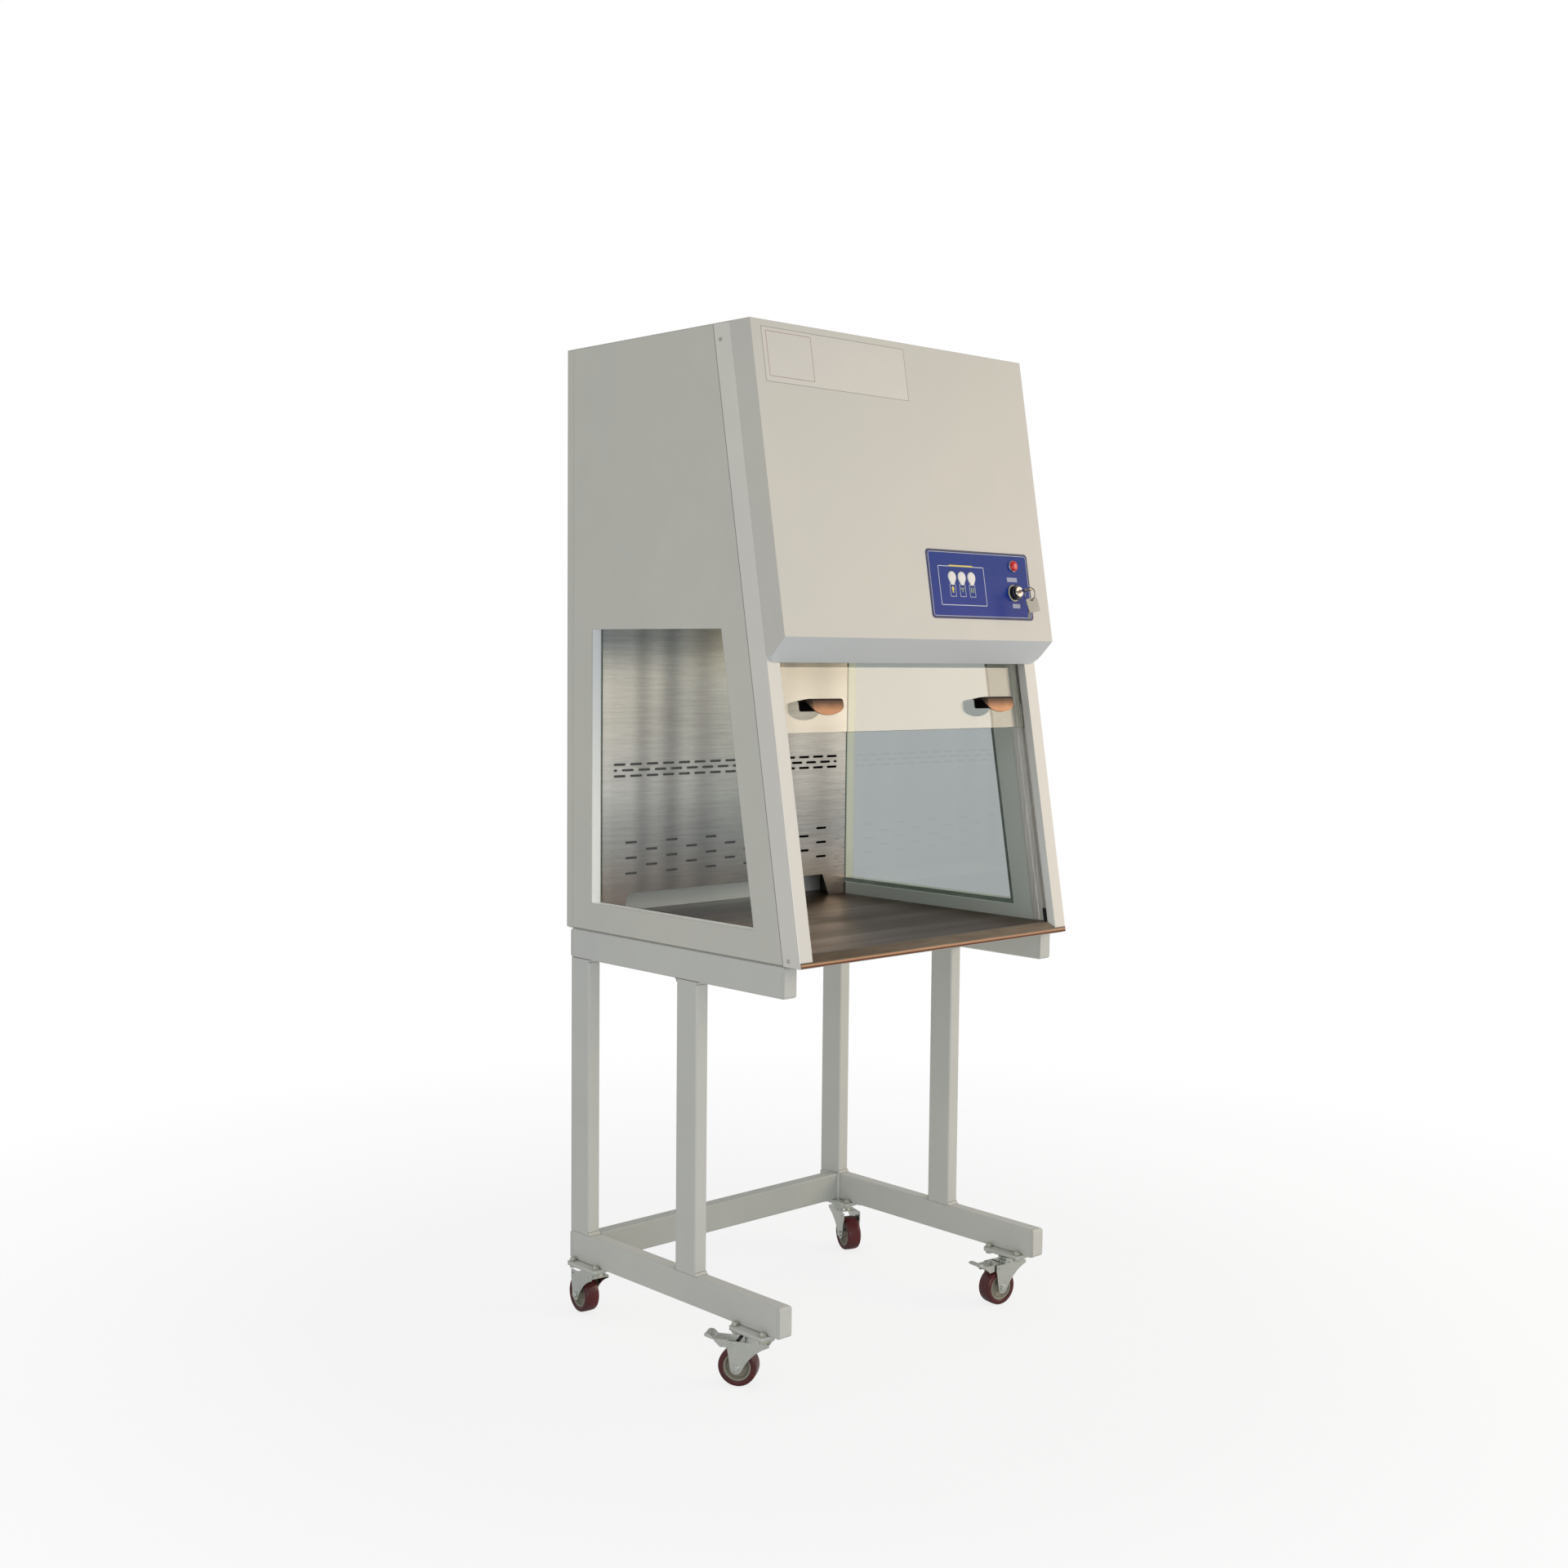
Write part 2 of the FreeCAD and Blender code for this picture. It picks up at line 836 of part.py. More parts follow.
def worktop_profile():
    """Half section of the pan: flat, sloped nose, lip and hem."""
    rear = rear_y - sheet - seam
    fold = front_y + worktop_fold
    low = worktop_top - worktop_drop
    bottom = low - worktop_lip
    slope = math.atan2(worktop_drop, worktop_fold)
    shift = sheet * math.tan(slope / 2)
    turn = sheet * math.tan((math.pi / 2 - slope) / 2)
    return [
        (rear, worktop_top),
        (fold, worktop_top),
        (front_y, low),
        (front_y, bottom),
        (front_y + worktop_hem, bottom),
        (front_y + worktop_hem, bottom + sheet),
        (front_y + sheet, bottom + sheet),
        (front_y + sheet, low - turn),
        (fold + shift, worktop_top - sheet),
        (rear, worktop_top - sheet),
    ]


def under_worktop():
    """Space below the worktop's surface, which the front strips are cut to."""
    return extrude(
        [outline([
            (rear_y, worktop_top + seam),
            (front_y + worktop_fold, worktop_top + seam),
            (front_y - seam, worktop_top - worktop_drop + seam),
            (front_y - strip_side, worktop_top - worktop_drop + seam),
            (front_y - strip_side, floor_z - side_wall),
            (rear_y, floor_z - side_wall),
        ])],
        "x", -half_width + sheet, half_width - sheet,
    )


def worktop():
    profile = worktop_profile()
    pan = extrude([outline(profile)], "x", -liner_half, liner_half)
    nose_half = half_width - sheet - seam
    nose = extrude([outline(profile)], "x", -nose_half, nose_half)
    ahead = box((-half_width, half_width), (front_y - 1, front_y + worktop_fold), (stand_height, worktop_top + 1))
    return fused(pan, [nose.common(ahead)])


def base_pan():
    """Cabinet floor with three channel ribs that carry the worktop."""
    half = half_width - 2 * sheet
    floor_low = stand_height
    pan = box((-half, half), (front_y + 4, rear_y - 2), (floor_low, floor_low + sheet))
    rib_top = worktop_top - sheet
    ribs = []
    for x in (-rib_spacing, 0.0, rib_spacing):
        limits = (front_y + 2 * worktop_fold, rear_y - 2 * sheet)
        outer = box((x - rib_width / 2, x + rib_width / 2), limits, (floor_low + sheet, rib_top))
        hollow = box((x - rib_width / 2 + sheet, x + rib_width / 2 - sheet), limits,
                     (floor_low + sheet, rib_top - sheet))
        ribs.append(outer.cut(hollow))
    return fused(pan, ribs)


def front_strip():
    """Folded corner strip: side leg, front face and a return beside the opening."""
    outer = half_width
    inner = half_width - strip_face
    section = [
        (inner, 0),
        (outer, 0),
        (outer, strip_side - seam),
        (outer - sheet, strip_side - seam),
        (outer - sheet, sheet),
        (inner + sheet, sheet),
        (inner + sheet, strip_return),
        (inner, strip_return),
    ]
    reach = along(cabinet_top) + strip_side
    strip = on_slant(extrude([outline(section)], "z", -strip_side, reach))
    band = box((0, outer + 1), (front_y - cabinet_depth, rear_y), (stand_height + 1, panel_top))
    strip = strip.common(band).cut(under_worktop())
    for z in (strip_screw_low, strip_screw_high):
        strip = strip.cut(strip_screw_bore(z))
    return strip


def strip_screw_bore(z):
    y = front_plane_y(z, strip_screw_offset)
    return cylinder(screw_hole, half_width - side_wall, half_width + 1, "x", (y, z))


def rear_screw_places():
    step = (panel_top - floor_z - 4 * rear_screw_inset) / (rear_screw_rows - 1)
    heights = [floor_z + 2 * rear_screw_inset + step * i for i in range(rear_screw_rows)]
    reach = half_width - rear_screw_inset
    return [(x, z) for x in (-reach, reach) for z in heights]


def rear_panel():
    """Rear sheet that wraps round both sides, with holes for the inlet and its screws."""
    holes = [circle(screw_hole, centre) for centre in rear_screw_places()]
    cut_out = rounded(inlet_body[0] + 1, inlet_body[1] + 1, 3, (inlet_x, inlet_z))
    edge = outline([
        (-half_width, floor_z),
        (half_width, floor_z),
        (half_width, panel_top),
        (-half_width, panel_top),
    ])
    plate = extrude([edge, cut_out] + holes, "y", rear_y - sheet, rear_y)
    wrap = box((half_width - sheet, half_width), (rear_y - rear_wrap, rear_y - sheet), (floor_z, panel_top))
    return fused(plate, both_sides(wrap))


def top_panel():
    """Flat top with two rows of intake slots over the blower."""
    front = front_plane_y(cabinet_top) + seam
    corners = [(-half_width, front), (half_width, front), (half_width, rear_y), (-half_width, rear_y)]
    slots = []
    for side in (-1, 1):
        for i in range(intake_count):
            y = blower_axis[0] + (i - (intake_count - 1) / 2) * intake_pitch
            centre = (side * (intake_slot[0] / 2 + intake_pitch / 2), y)
            slots.append(obround(intake_slot[0], intake_slot[1], centre))
    return extrude([outline(corners)] + slots, "z", panel_top, cabinet_top)


def power_inlet():
    """Appliance inlet: flange, body with its socket, and three pins."""
    centre = (inlet_x, inlet_z)
    flange = extrude([rounded(inlet_flange[0], inlet_flange[1], 4, centre)], "y", rear_y, rear_y + 1)
    body = extrude([rounded(inlet_body[0], inlet_body[1], 2, centre)], "y", rear_y - inlet_depth - 5, rear_y)
    socket = extrude([rounded(inlet_socket[0], inlet_socket[1], 3, centre)], "y", rear_y - inlet_depth, rear_y + 2)
    inlet = fused(flange, [body]).cut(socket)
    pins = []
    for dx, dz in ((-7, -inlet_pin_drop), (0, -inlet_pin_drop + 1), (7, -inlet_pin_drop)):
        x = inlet_x + dx
        z = inlet_z + dz
        pins.append(box((x - inlet_pin[0] / 2, x + inlet_pin[0] / 2),
                        (rear_y - inlet_depth - 0.5, rear_y - inlet_depth + inlet_pin[2]),
                        (z - inlet_pin[1] / 2, z + inlet_pin[1] / 2)))
    return fused(inlet, pins)


def case_screw(centre, direction):
    """Pan-head screw whose head seats at the centre and whose shank goes in."""
    profile = [
        (0, screw_head),
        (screw_head_radius * 0.6, screw_head),
        (screw_head_radius, screw_head * 0.4),
        (screw_head_radius, 0),
        (screw_radius, 0),
        (screw_radius, -screw_length),
        (0, -screw_length),
    ]
    return revolved(profile, centre, direction)


def make_screws():
    screws = []
    for z in (strip_screw_low, strip_screw_high):
        y = front_plane_y(z, strip_screw_offset)
        screws += both_sides(case_screw(Vector(half_width, y, z), Vector(1, 0, 0)))
    for x, z in rear_screw_places():
        screws.append(case_screw(Vector(x, rear_y, z), Vector(0, 1, 0)))
    export("case_screws", screws)


# Hood over the upper front
def hood_profile(inset):
    """Side view of the hood: front face, bevel back to the opening, and top."""
    skin = [
        (front_plane_y(hood_lip), hood_lip),
        (front_plane_y(hood_front_bottom, hood_face), hood_front_bottom),
        (front_plane_y(cabinet_top, hood_face), cabinet_top),
        (front_plane_y(cabinet_top), cabinet_top),
    ]
    return grow(skin, -inset) if inset else skin


def hood_front_view(inset):
    """Front view of the hood, with both lower corners rounded."""
    width = cabinet_width - 2 * inset
    low = hood_lip + inset
    high = cabinet_top + 2 * hood_corner
    view = rounded(width, high - low, hood_corner - inset, (0, (low + high) / 2))
    return extrude([view], "y", front_y - cabinet_depth, rear_y)


def egg(extra, x):
    """Outline of a key, a wide round end above a narrow one, grown by an extra."""
    lean = math.asin((key_wide_radius - key_narrow_radius) / key_centres)
    lift = (key_centres + key_narrow_radius - key_wide_radius) / 2
    high = Vector(x, key_along + lift, 0)
    low = Vector(x, key_along + lift - key_centres, 0)
    right = Vector(math.cos(lean), -math.sin(lean), 0)
    left = Vector(-math.cos(lean), -math.sin(lean), 0)
    wide = key_wide_radius + extra
    narrow = key_narrow_radius + extra
    return Part.Wire([
        Part.Arc(high + right * wide, high + Vector(0, wide, 0), high + left * wide).toShape(),
        Part.LineSegment(high + left * wide, low + left * narrow).toShape(),
        Part.Arc(low + left * narrow, low - Vector(0, narrow, 0), low + right * narrow).toShape(),
        Part.LineSegment(low + right * narrow, high + right * wide).toShape(),
    ])


def face_openings():
    """Outlines of the holes for the keys, the lamp and the lock."""
    wires = [egg(key_gap, x) for x in key_x]
    wires.append(circle(lamp_neck + key_gap, (lamp_x, lamp_along)))
    wires.append(circle(lock_neck + key_gap, (lock_x, lock_along)))
    return wires


def hood():
    shell = extrude([outline(hood_profile(0))], "x", -half_width, half_width).common(hood_front_view(0))
    inner_points = hood_profile(sheet)
    inner = extrude([outline(inner_points)], "x", -half_width + sheet, half_width - sheet)
    back = on_slant(box((-half_width + sheet, half_width - sheet), (-2 * sheet, sheet),
                        (along(hood_lip + 3 * sheet), along(cabinet_top - sheet))))
    hollow = inner.fuse(back).common(hood_front_view(sheet))
    shell = shell.cut(hollow)
    for wire in face_openings():
        shell = shell.cut(on_slant(extrude([wire], "y", hood_face - sheet, hood_face + 2 * sheet)))
    return shell


# Perforated back panel
def back_panel_outline():
    """Panel on two feet that flare upwards."""
    half = liner_half
    foot = worktop_top + seam
    step = worktop_top + foot_height
    inner = half - foot_width
    return [
        (-half, foot),
        (-inner, foot),
        (-inner + foot_flare, step),
        (inner - foot_flare, step),
        (inner, foot),
        (half, foot),
        (half, back_panel_top),
        (-half, back_panel_top),
    ]


def upper_slots():
    """Band of three rows across the panel, the middle one offset by half a pitch."""
    count = int(upper_slot_reach // upper_slot_pitch)
    limits = (-upper_slot_reach, upper_slot_reach)
    wires = []
    for row in (-1, 0, 1):
        shift = upper_slot_pitch / 2 if row == 0 else 0.0
        z = upper_slot_z + row * upper_slot_rows
        places = [i * upper_slot_pitch + shift for i in range(-count - 1, count + 1)]
        if row:
            places = places[1:]
        for x in places:
            wires.append(obround(slot_length, slot_width, (x, z), limits))
    return wires


def lower_slots():
    """Columns of three and two slots in turn, above the feet."""
    wires = []
    for i in range(-lower_slot_side, lower_slot_side + 1):
        rows = (-1, 0, 1) if (i - lower_slot_side) % 2 == 0 else (-0.5, 0.5)
        for row in rows:
            centre = (i * lower_slot_pitch, lower_slot_z + row * lower_slot_rows)
            wires.append(obround(slot_length, slot_width, centre))
    return wires


def back_panel():
    wires = [outline(back_panel_outline())] + upper_slots() + lower_slots()
    plate = extrude(wires, "y", back_panel_y, back_panel_y + back_panel_sheet)
    low = worktop_top + foot_height
    flange = box((liner_half - back_panel_sheet, liner_half),
                 (back_panel_y + back_panel_sheet, back_panel_y + back_panel_flange),
                 (low, ceiling_z))
    return fused(plate, both_sides(flange))


# Sash and its guides, drawn in the slanted frame
sash_low = along(sash_bottom, sash_offset)
sash_high = sash_low + sash_length
sash_half = inner_half + track_depth - sash_edge


def sash_guide():
    """Extrusion with the sash track, a land and a flange over the inner wall."""
    root = inner_half + track_depth + track_web
    nib = inner_half - sheet
    section = [
        (inner_half, strip_return + seam),
        (root, strip_return + seam),
        (root, strip_side - seam),
        (inner_half, strip_side - seam),
        (inner_half, guide_flange_rear),
        (nib, guide_flange_rear),
        (nib, guide_flange_front),
        (inner_half, guide_flange_front),
        (inner_half, track_rear),
        (inner_half + track_depth, track_rear),
        (inner_half + track_depth, track_front),
        (inner_half, track_front),
    ]
    high = sash_high + sash_raise + guide_margin
    guide = on_slant(extrude([outline(section)], "z", 0, high))
    return guide.cut(under_worktop())


def sash_stop():
    """Rubber block at the foot of the track."""
    low = along(worktop_top + 2 * seam, track_rear) + seam
    return on_slant(box(
        (inner_half + seam, inner_half + track_depth - seam / 2),
        (track_front + seam / 2, track_rear - seam / 2),
        (low, low + stop_length),
    ))


def sash_glass():
    return on_slant(box(
        (-sash_half, sash_half),
        (sash_offset, sash_offset + sash_thickness),
        (sash_low, sash_high),
    ))


def sash_gliders():
    """Nylon blocks that clip on the glass edges and run in the tracks."""
    blocks = []
    outer = inner_half + track_depth - sash_play
    inner = sash_half - glider_grip
    for low in (sash_low, sash_high - glider_length):
        block = box((inner, outer), (track_front + sash_play, track_rear - sash_play), (low, low + glider_length))
        groove = box((inner - 1, sash_half), (sash_offset, sash_offset + sash_thickness),
                     (low - 1, low + glider_length + 1))
        blocks += both_sides(on_slant(block.cut(groove)))
    return blocks


def half_moon(inset):
    """Flat-topped outline with a bowed lower edge."""
    half = pull_width / 2 - inset
    top = pull_height - inset
    ear = pull_height * 0.72
    rim = Vector(-half, ear, 0)
    left = Vector(-half * 0.62, (pull_height * 0.22) + inset, 0)
    bottom = Vector(0, inset, 0)
    right = Vector(half * 0.62, (pull_height * 0.22) + inset, 0)
    end = Vector(half, ear, 0)
    corner = 5.0 - inset / 2
    edges = [
        Part.Arc(rim, left, bottom).toShape(),
        Part.Arc(bottom, right, end).toShape(),
        Part.LineSegment(end, Vector(half, top - corner, 0)).toShape(),
        Part.Arc(Vector(half, top - corner, 0), Vector(half - corner * 0.293, top - corner * 0.293, 0),
                 Vector(half - corner, top, 0)).toShape(),
        Part.LineSegment(Vector(half - corner, top, 0), Vector(-half + corner, top, 0)).toShape(),
        Part.Arc(Vector(-half + corner, top, 0), Vector(-half + corner * 0.293, top - corner * 0.293, 0),
                 Vector(-half, top - corner, 0)).toShape(),
        Part.LineSegment(Vector(-half, top - corner, 0), rim).toShape(),
    ]
    return Part.Wire(edges)


def sash_pull(side):
    """Cup pull: base on the glass, shelf on top, and a half-moon lip in front of the fingers."""
    front = sash_offset - pull_depth
    cup = extrude([half_moon(0)], "y", front, sash_offset)
    pocket = extrude([half_moon(pull_wall)], "y", front + pull_wall, sash_offset - pull_wall)
    below = box((-pull_width, pull_width), (front + pull_wall, sash_offset - pull_wall), (-pull_height, pull_base / 2))
    trim = box((-pull_width, pull_width), (sash_offset - pull_wall, sash_offset + 1),
               (-pull_height, pull_height - pull_base))
    pull = cup.cut(pocket).cut(below).cut(trim)
    pull.translate(Vector(side * pull_spacing / 2, 0, sash_low + pull_rise))
    return on_slant(pull)


# Control plate and what is on it, drawn in the slanted frame
def control_plate():
    centre = ((plate_left + plate_right) / 2, plate_bottom + plate_height / 2)
    wires = [rounded(plate_width, plate_height, plate_corner, centre)] + face_openings()
    return on_slant(extrude(wires, "y", plate_face, hood_face))


def out_of_face(profile, x, position):
    """Turned piece on the plate: heights are counted outwards from the plate's face."""
    return on_slant(revolved(profile, Vector(x, plate_face, position), Vector(0, -1, 0)))


board_front = hood_face + sheet + board_standoff


def push_key(x):
    """Key with a bevelled edge, a hidden rim behind the hood sheet, and a stem to the board."""
    rim_front = hood_face + sheet + seam
    rim_rear = rim_front + sheet
    face = plate_face - key_proud
    cap = extrude([egg(0, x)], "y", face + key_bevel, rim_front)
    crown = extrude([egg(-key_bevel, x)], "y", face, face + key_bevel)
    rim = extrude([egg(key_rim, x)], "y", rim_front, rim_rear)
    stem = cylinder(key_stem, rim_rear, board_front - key_travel - seam, "y", (x, key_along))
    return on_slant(fused(cap, [crown, rim, stem]))


def pilot_bezel():
    profile = [
        (0, lamp_seat),
        (lamp_radius, lamp_seat),
        (lamp_radius, lamp_bezel_height),
        (lamp_bezel - 1, lamp_bezel_height),
        (lamp_bezel, lamp_bezel_height - 1),
        (lamp_bezel, 0),
        (lamp_neck, 0),
        (lamp_neck, -lamp_body),
        (0, -lamp_body),
    ]
    return out_of_face(profile, lamp_x, lamp_along)


def pilot_lens():
    """Domed lens that stands in the bezel."""
    radius = lamp_radius - turn_clearance
    profile = [
        (0, lamp_dome),
        (radius * 0.4, lamp_dome * 0.94),
        (radius * 0.72, lamp_dome * 0.76),
        (radius * 0.94, lamp_dome * 0.5),
        (radius, lamp_dome * 0.3),
        (radius, lamp_seat),
        (0, lamp_seat),
    ]
    return out_of_face(profile, lamp_x, lamp_along)


lock_face = legend_sheet + lock_body_height
bore_depth = key_blade_depth + 4


def lock_body():
    """Switch body through the hood, with its nut behind and its plain legend ring in front."""
    skin = plate_thickness + sheet
    bore = barrel_radius + turn_clearance
    profile = [
        (bore, lock_face),
        (lock_body_radius - 1, lock_face),
        (lock_body_radius, lock_face - 1),
        (lock_body_radius, legend_sheet),
        (lock_neck, legend_sheet),
        (lock_neck, -skin),
        (lock_nut_radius, -skin),
        (lock_nut_radius, -skin - lock_nut),
        (lock_neck, -skin - lock_nut),
        (lock_neck, -lock_rear),
        (0, -lock_rear),
        (0, lock_face - bore_depth),
        (bore, lock_face - bore_depth),
    ]
    legend = [
        (lock_neck, 0),
        (legend_radius, 0),
        (legend_radius, legend_sheet),
        (lock_neck, legend_sheet),
    ]
    return [out_of_face(profile, lock_x, lock_along), out_of_face(legend, lock_x, lock_along)]


def lock_barrel():
    """Turning barrel with the key slot, its collar in front of the body."""
    profile = [
        (0, lock_face + barrel_proud),
        (barrel_flange - 1.5, lock_face + barrel_proud),
        (barrel_flange, lock_face + barrel_proud - 1.5),
        (barrel_flange, lock_face + seam),
        (barrel_radius, lock_face + seam),
        (barrel_radius, lock_face - bore_depth + seam),
        (0, lock_face - bore_depth + seam),
    ]
    barrel = revolved(profile, Vector(lock_x, plate_face, lock_along), Vector(0, -1, 0))
    front = plate_face - lock_face - barrel_proud
    slot = box(
        (lock_x - key_blade_width / 2 - turn_clearance, lock_x + key_blade_width / 2 + turn_clearance),
        (front - 1, front + key_blade_depth + turn_clearance),
        (lock_along - key_sheet / 2 - turn_clearance, lock_along + key_sheet / 2 + turn_clearance),
    )
    return on_slant(barrel.cut(slot))


bow_start = plate_face - lock_face - barrel_proud - 1
bow_end = bow_start - bow_length


def switch_key():
    """Flat key, its bow level, with the hole that the ring goes through."""
    hole = (lock_x, bow_end + bow_rim + bow_hole)
    low = lock_along - key_sheet / 2
    bow = extrude(
        [rounded(bow_width, bow_length, bow_corner, (lock_x, bow_start - bow_length / 2)), circle(bow_hole, hole)],
        "z", low, low + key_sheet,
    )
    blade = box(
        (lock_x - key_blade_width / 2, lock_x + key_blade_width / 2),
        (bow_start - bow_corner / 2, bow_start + 1 + key_blade_depth),
        (low, low + key_sheet),
    )
    return on_slant(fused(bow, [blade]))


ring_hook = SLANTED.multVec(Vector(lock_x, bow_end + bow_rim / 2, lock_along))


def hanger(edges, sheet_thickness):
    """Flat piece hung from the foot of the ring, drawn about the ring's centre."""
    grip = 3.0
    hole = ring_section + 1.8
    top = grip + seam - ring_inner
    wires = [rounded(width, height, corner, (0, top - drop)) for width, height, corner, drop in edges]
    plate = extrude([wires[0], rounded(5.0, hole, 1.5, (0, top - grip - hole / 2))], "y",
                    -sheet_thickness / 2, sheet_thickness / 2)
    tails = [extrude([wire], "y", -sheet_thickness / 2, sheet_thickness / 2) for wire in wires[1:]]
    return fused(plate, tails) if tails else plate


def key_ring():
    """Flat ring through the key's bow, with a spare key and a plain tag hanging from it."""
    centre = ring_hook - Vector(0, 0, ring_drop)
    outer = ring_inner + ring_section
    ring = extrude(
        [circle(outer, (centre.y, centre.z)), circle(ring_inner, (centre.y, centre.z))],
        "x", centre.x - ring_section / 2, centre.x + ring_section / 2,
    )
    tail = spare_length - spare_bow + 2
    spare = hanger([
        (spare_width, spare_bow, 6.0, spare_bow / 2),
        (spare_blade, tail, 1.0, spare_length - tail / 2),
    ], tag_sheet)
    tag = hanger([(tag_width, tag_height, 3.0, tag_height / 2)], tag_sheet)
    twist = FreeCAD.Rotation(Vector(0, 0, 1), -tag_twist)
    lean = FreeCAD.Rotation(Vector(1, 0, 0), -tag_lean)
    spare = place(spare, FreeCAD.Placement(centre, twist))
    tag = place(tag, FreeCAD.Placement(centre, lean.multiply(twist)))
    return [ring, spare, tag]


def control_board():
    """Board behind the keys on four pillars from the hood."""
    low_x = key_x[0] - board_margin
    high_x = key_x[-1] + board_margin
    low = key_along - board_reach
    high = key_along + board_reach
    board = box((low_x, high_x), (board_front, board_front + board_sheet), (low, high))
    pillars = []
    for x in (low_x + 6, high_x - 6):
        for position in (low + 6, high - 6):
            pillars.append(cylinder(3.0, hood_face + sheet, board_front, "y", (x, position)))
    return on_slant(fused(board, pillars))


# Upper compartment
filter_box_low = ceiling_z + sheet
filter_box_top = filter_box_low + filter_box_height
filter_box_front = front_plane_y(filter_box_top, filter_box_setback)
filter_low = filter_box_low + sheet


def filter_box():
    """Pressure box over the filter, open below inside a ledge, with the blower's mouth on top."""
    outer = box((-liner_half, liner_half), (filter_box_front, back_panel_y), (filter_box_low, filter_box_top))
    inner = box((-liner_half + sheet, liner_half - sheet), (filter_box_front + sheet, back_panel_y - sheet),
                (filter_low, filter_box_top - sheet))
    mouth = box((-liner_half + filter_ledge, liner_half - filter_ledge),
                (filter_box_front + filter_ledge, back_panel_y - filter_ledge),
                (filter_box_low - 1, filter_low + 1))
    outlet = box((-blower_width / 2 + sheet, blower_width / 2 - sheet), scroll_mouth(sheet),
                 (filter_box_top - 2 * sheet, filter_box_top + 1))
    return outer.cut(inner).cut(mouth).cut(outlet)


def hepa_filter():
    """Filter frame and its pleated pack as two solids."""
    half = liner_half - sheet - filter_clearance
    front = filter_box_front + sheet + filter_clearance
    rear = back_panel_y - sheet - filter_clearance
    high = filter_low + filter_height
    frame = box((-half, half), (front, rear), (filter_low, high))
    window_x = half - filter_frame
    frame = frame.cut(box((-window_x, window_x), (front + filter_frame, rear - filter_frame),
                          (filter_low - 1, high + 1)))
    count = int(2 * window_x // pleat_pitch)
    start = -count * pleat_pitch / 2
    low_z = filter_low + 4
    high_z = high - 4
    crest = []
    for i in range(count + 1):
        crest.append((start + i * pleat_pitch, low_z))
        if i < count:
            crest.append((start + (i + 0.5) * pleat_pitch, high_z - pleat_sheet))
    upper = [(x, z + pleat_sheet) for x, z in reversed(crest)]
    media = extrude([outline(crest + upper)], "y", front + filter_frame, rear - filter_frame)
    return [frame, media]


def diffuser_screen():
    half = liner_half - sheet
    front = filter_box_front + baffle_lap + 1
    rear = back_panel_y - seam
    corners = [(-half, front), (half, front), (half, rear), (-half, rear)]
    slots = []
    for column in range(screen_columns):
        x = (column - (screen_columns - 1) / 2) * (2 * half - filter_ledge) / screen_columns
        for row in range(screen_rows):
            y = (front + rear) / 2 + (row - (screen_rows - 1) / 2) * (rear - front - filter_ledge) / screen_rows
            slots.append(obround(screen_slot[0], screen_slot[1], (x, y)))
    return extrude([outline(corners)] + slots, "z", ceiling_z, filter_box_low)


def front_baffle():
    """Sheet behind the sash that closes the filter box's front, lapped under its ledge."""
    half = inner_half - 2 * sheet
    profile = [
        (front_plane_y(ceiling_z, baffle_offset), ceiling_z),
        (front_plane_y(filter_box_top, baffle_offset), filter_box_top),
        (front_plane_y(filter_box_top, baffle_offset + sheet), filter_box_top),
        (front_plane_y(filter_box_low, baffle_offset + sheet), filter_box_low),
        (filter_box_front + baffle_lap, filter_box_low),
        (filter_box_front + baffle_lap, ceiling_z),
    ]
    return extrude([outline(profile)], "x", -half, half)


def make_lamps():
    """Ultraviolet and white tubes under the ceiling, each between two holders."""
    z = ceiling_z - tube_drop
    tubes = []
    holders = []
    half = tube_length / 2
    for y in (back_panel_y - uv_from_panel, filter_box_front + lamp_from_box):
        tubes.append(cylinder(tube_radius, -half, half, "x", (y, z)))
        block = box((half, half + holder[0]), (y - holder[1] / 2, y + holder[1] / 2), (ceiling_z - holder[2], ceiling_z))
        holders += both_sides(block)
    export("lamp_tubes", tubes)
    export("lamp_holders", holders)


def scroll_radius(angle):
    """Volute radius, growing evenly over its turn from the cut-off to the mouth."""
    return scroll_start + (scroll_end - scroll_start) * angle / (1.5 * math.pi)


def scroll_mouth(inset):
    """Depth limits of the blower's mouth, which points down into the filter box."""
    centre = blower_axis[0]
    return (centre - scroll_end + inset, centre - inset)


def scroll_outline(inset):
    """Volute seen along the shaft: from the cut-off round the rear and top to the mouth."""
    cy, cz = blower_axis
    points = []
    for i in range(13):
        angle = 1.5 * math.pi * i / 12
        radius = scroll_radius(angle) - inset
        points.append(Vector(cy + radius * math.sin(angle), cz - radius * math.cos(angle), 0))
    curve = Part.BSplineCurve()
    curve.interpolate(points)
    front, rear = scroll_mouth(inset)
    low = filter_box_top - inset
    cut_off = Vector(rear, points[0].y, 0)
    corners = [points[-1], Vector(front, low, 0), Vector(rear, low, 0), cut_off]
    edges = [curve.toShape()]
    edges += [Part.LineSegment(a, b).toShape() for a, b in zip(corners, corners[1:])]
    if inset:
        edges.append(Part.LineSegment(cut_off, points[0]).toShape())
    return Part.Wire(edges)


def blower_housing():
    """Volute with both inlets and the mouth cut through."""
    half = blower_width / 2
    shell = extrude([scroll_outline(0)], "x", -half, half)
    hollow = extrude([scroll_outline(sheet)], "x", -half + sheet, half - sheet)
    inlets = cylinder(inlet_radius, -half - 1, half + 1, "x", blower_axis)
    return shell.cut(hollow).cut(inlets)


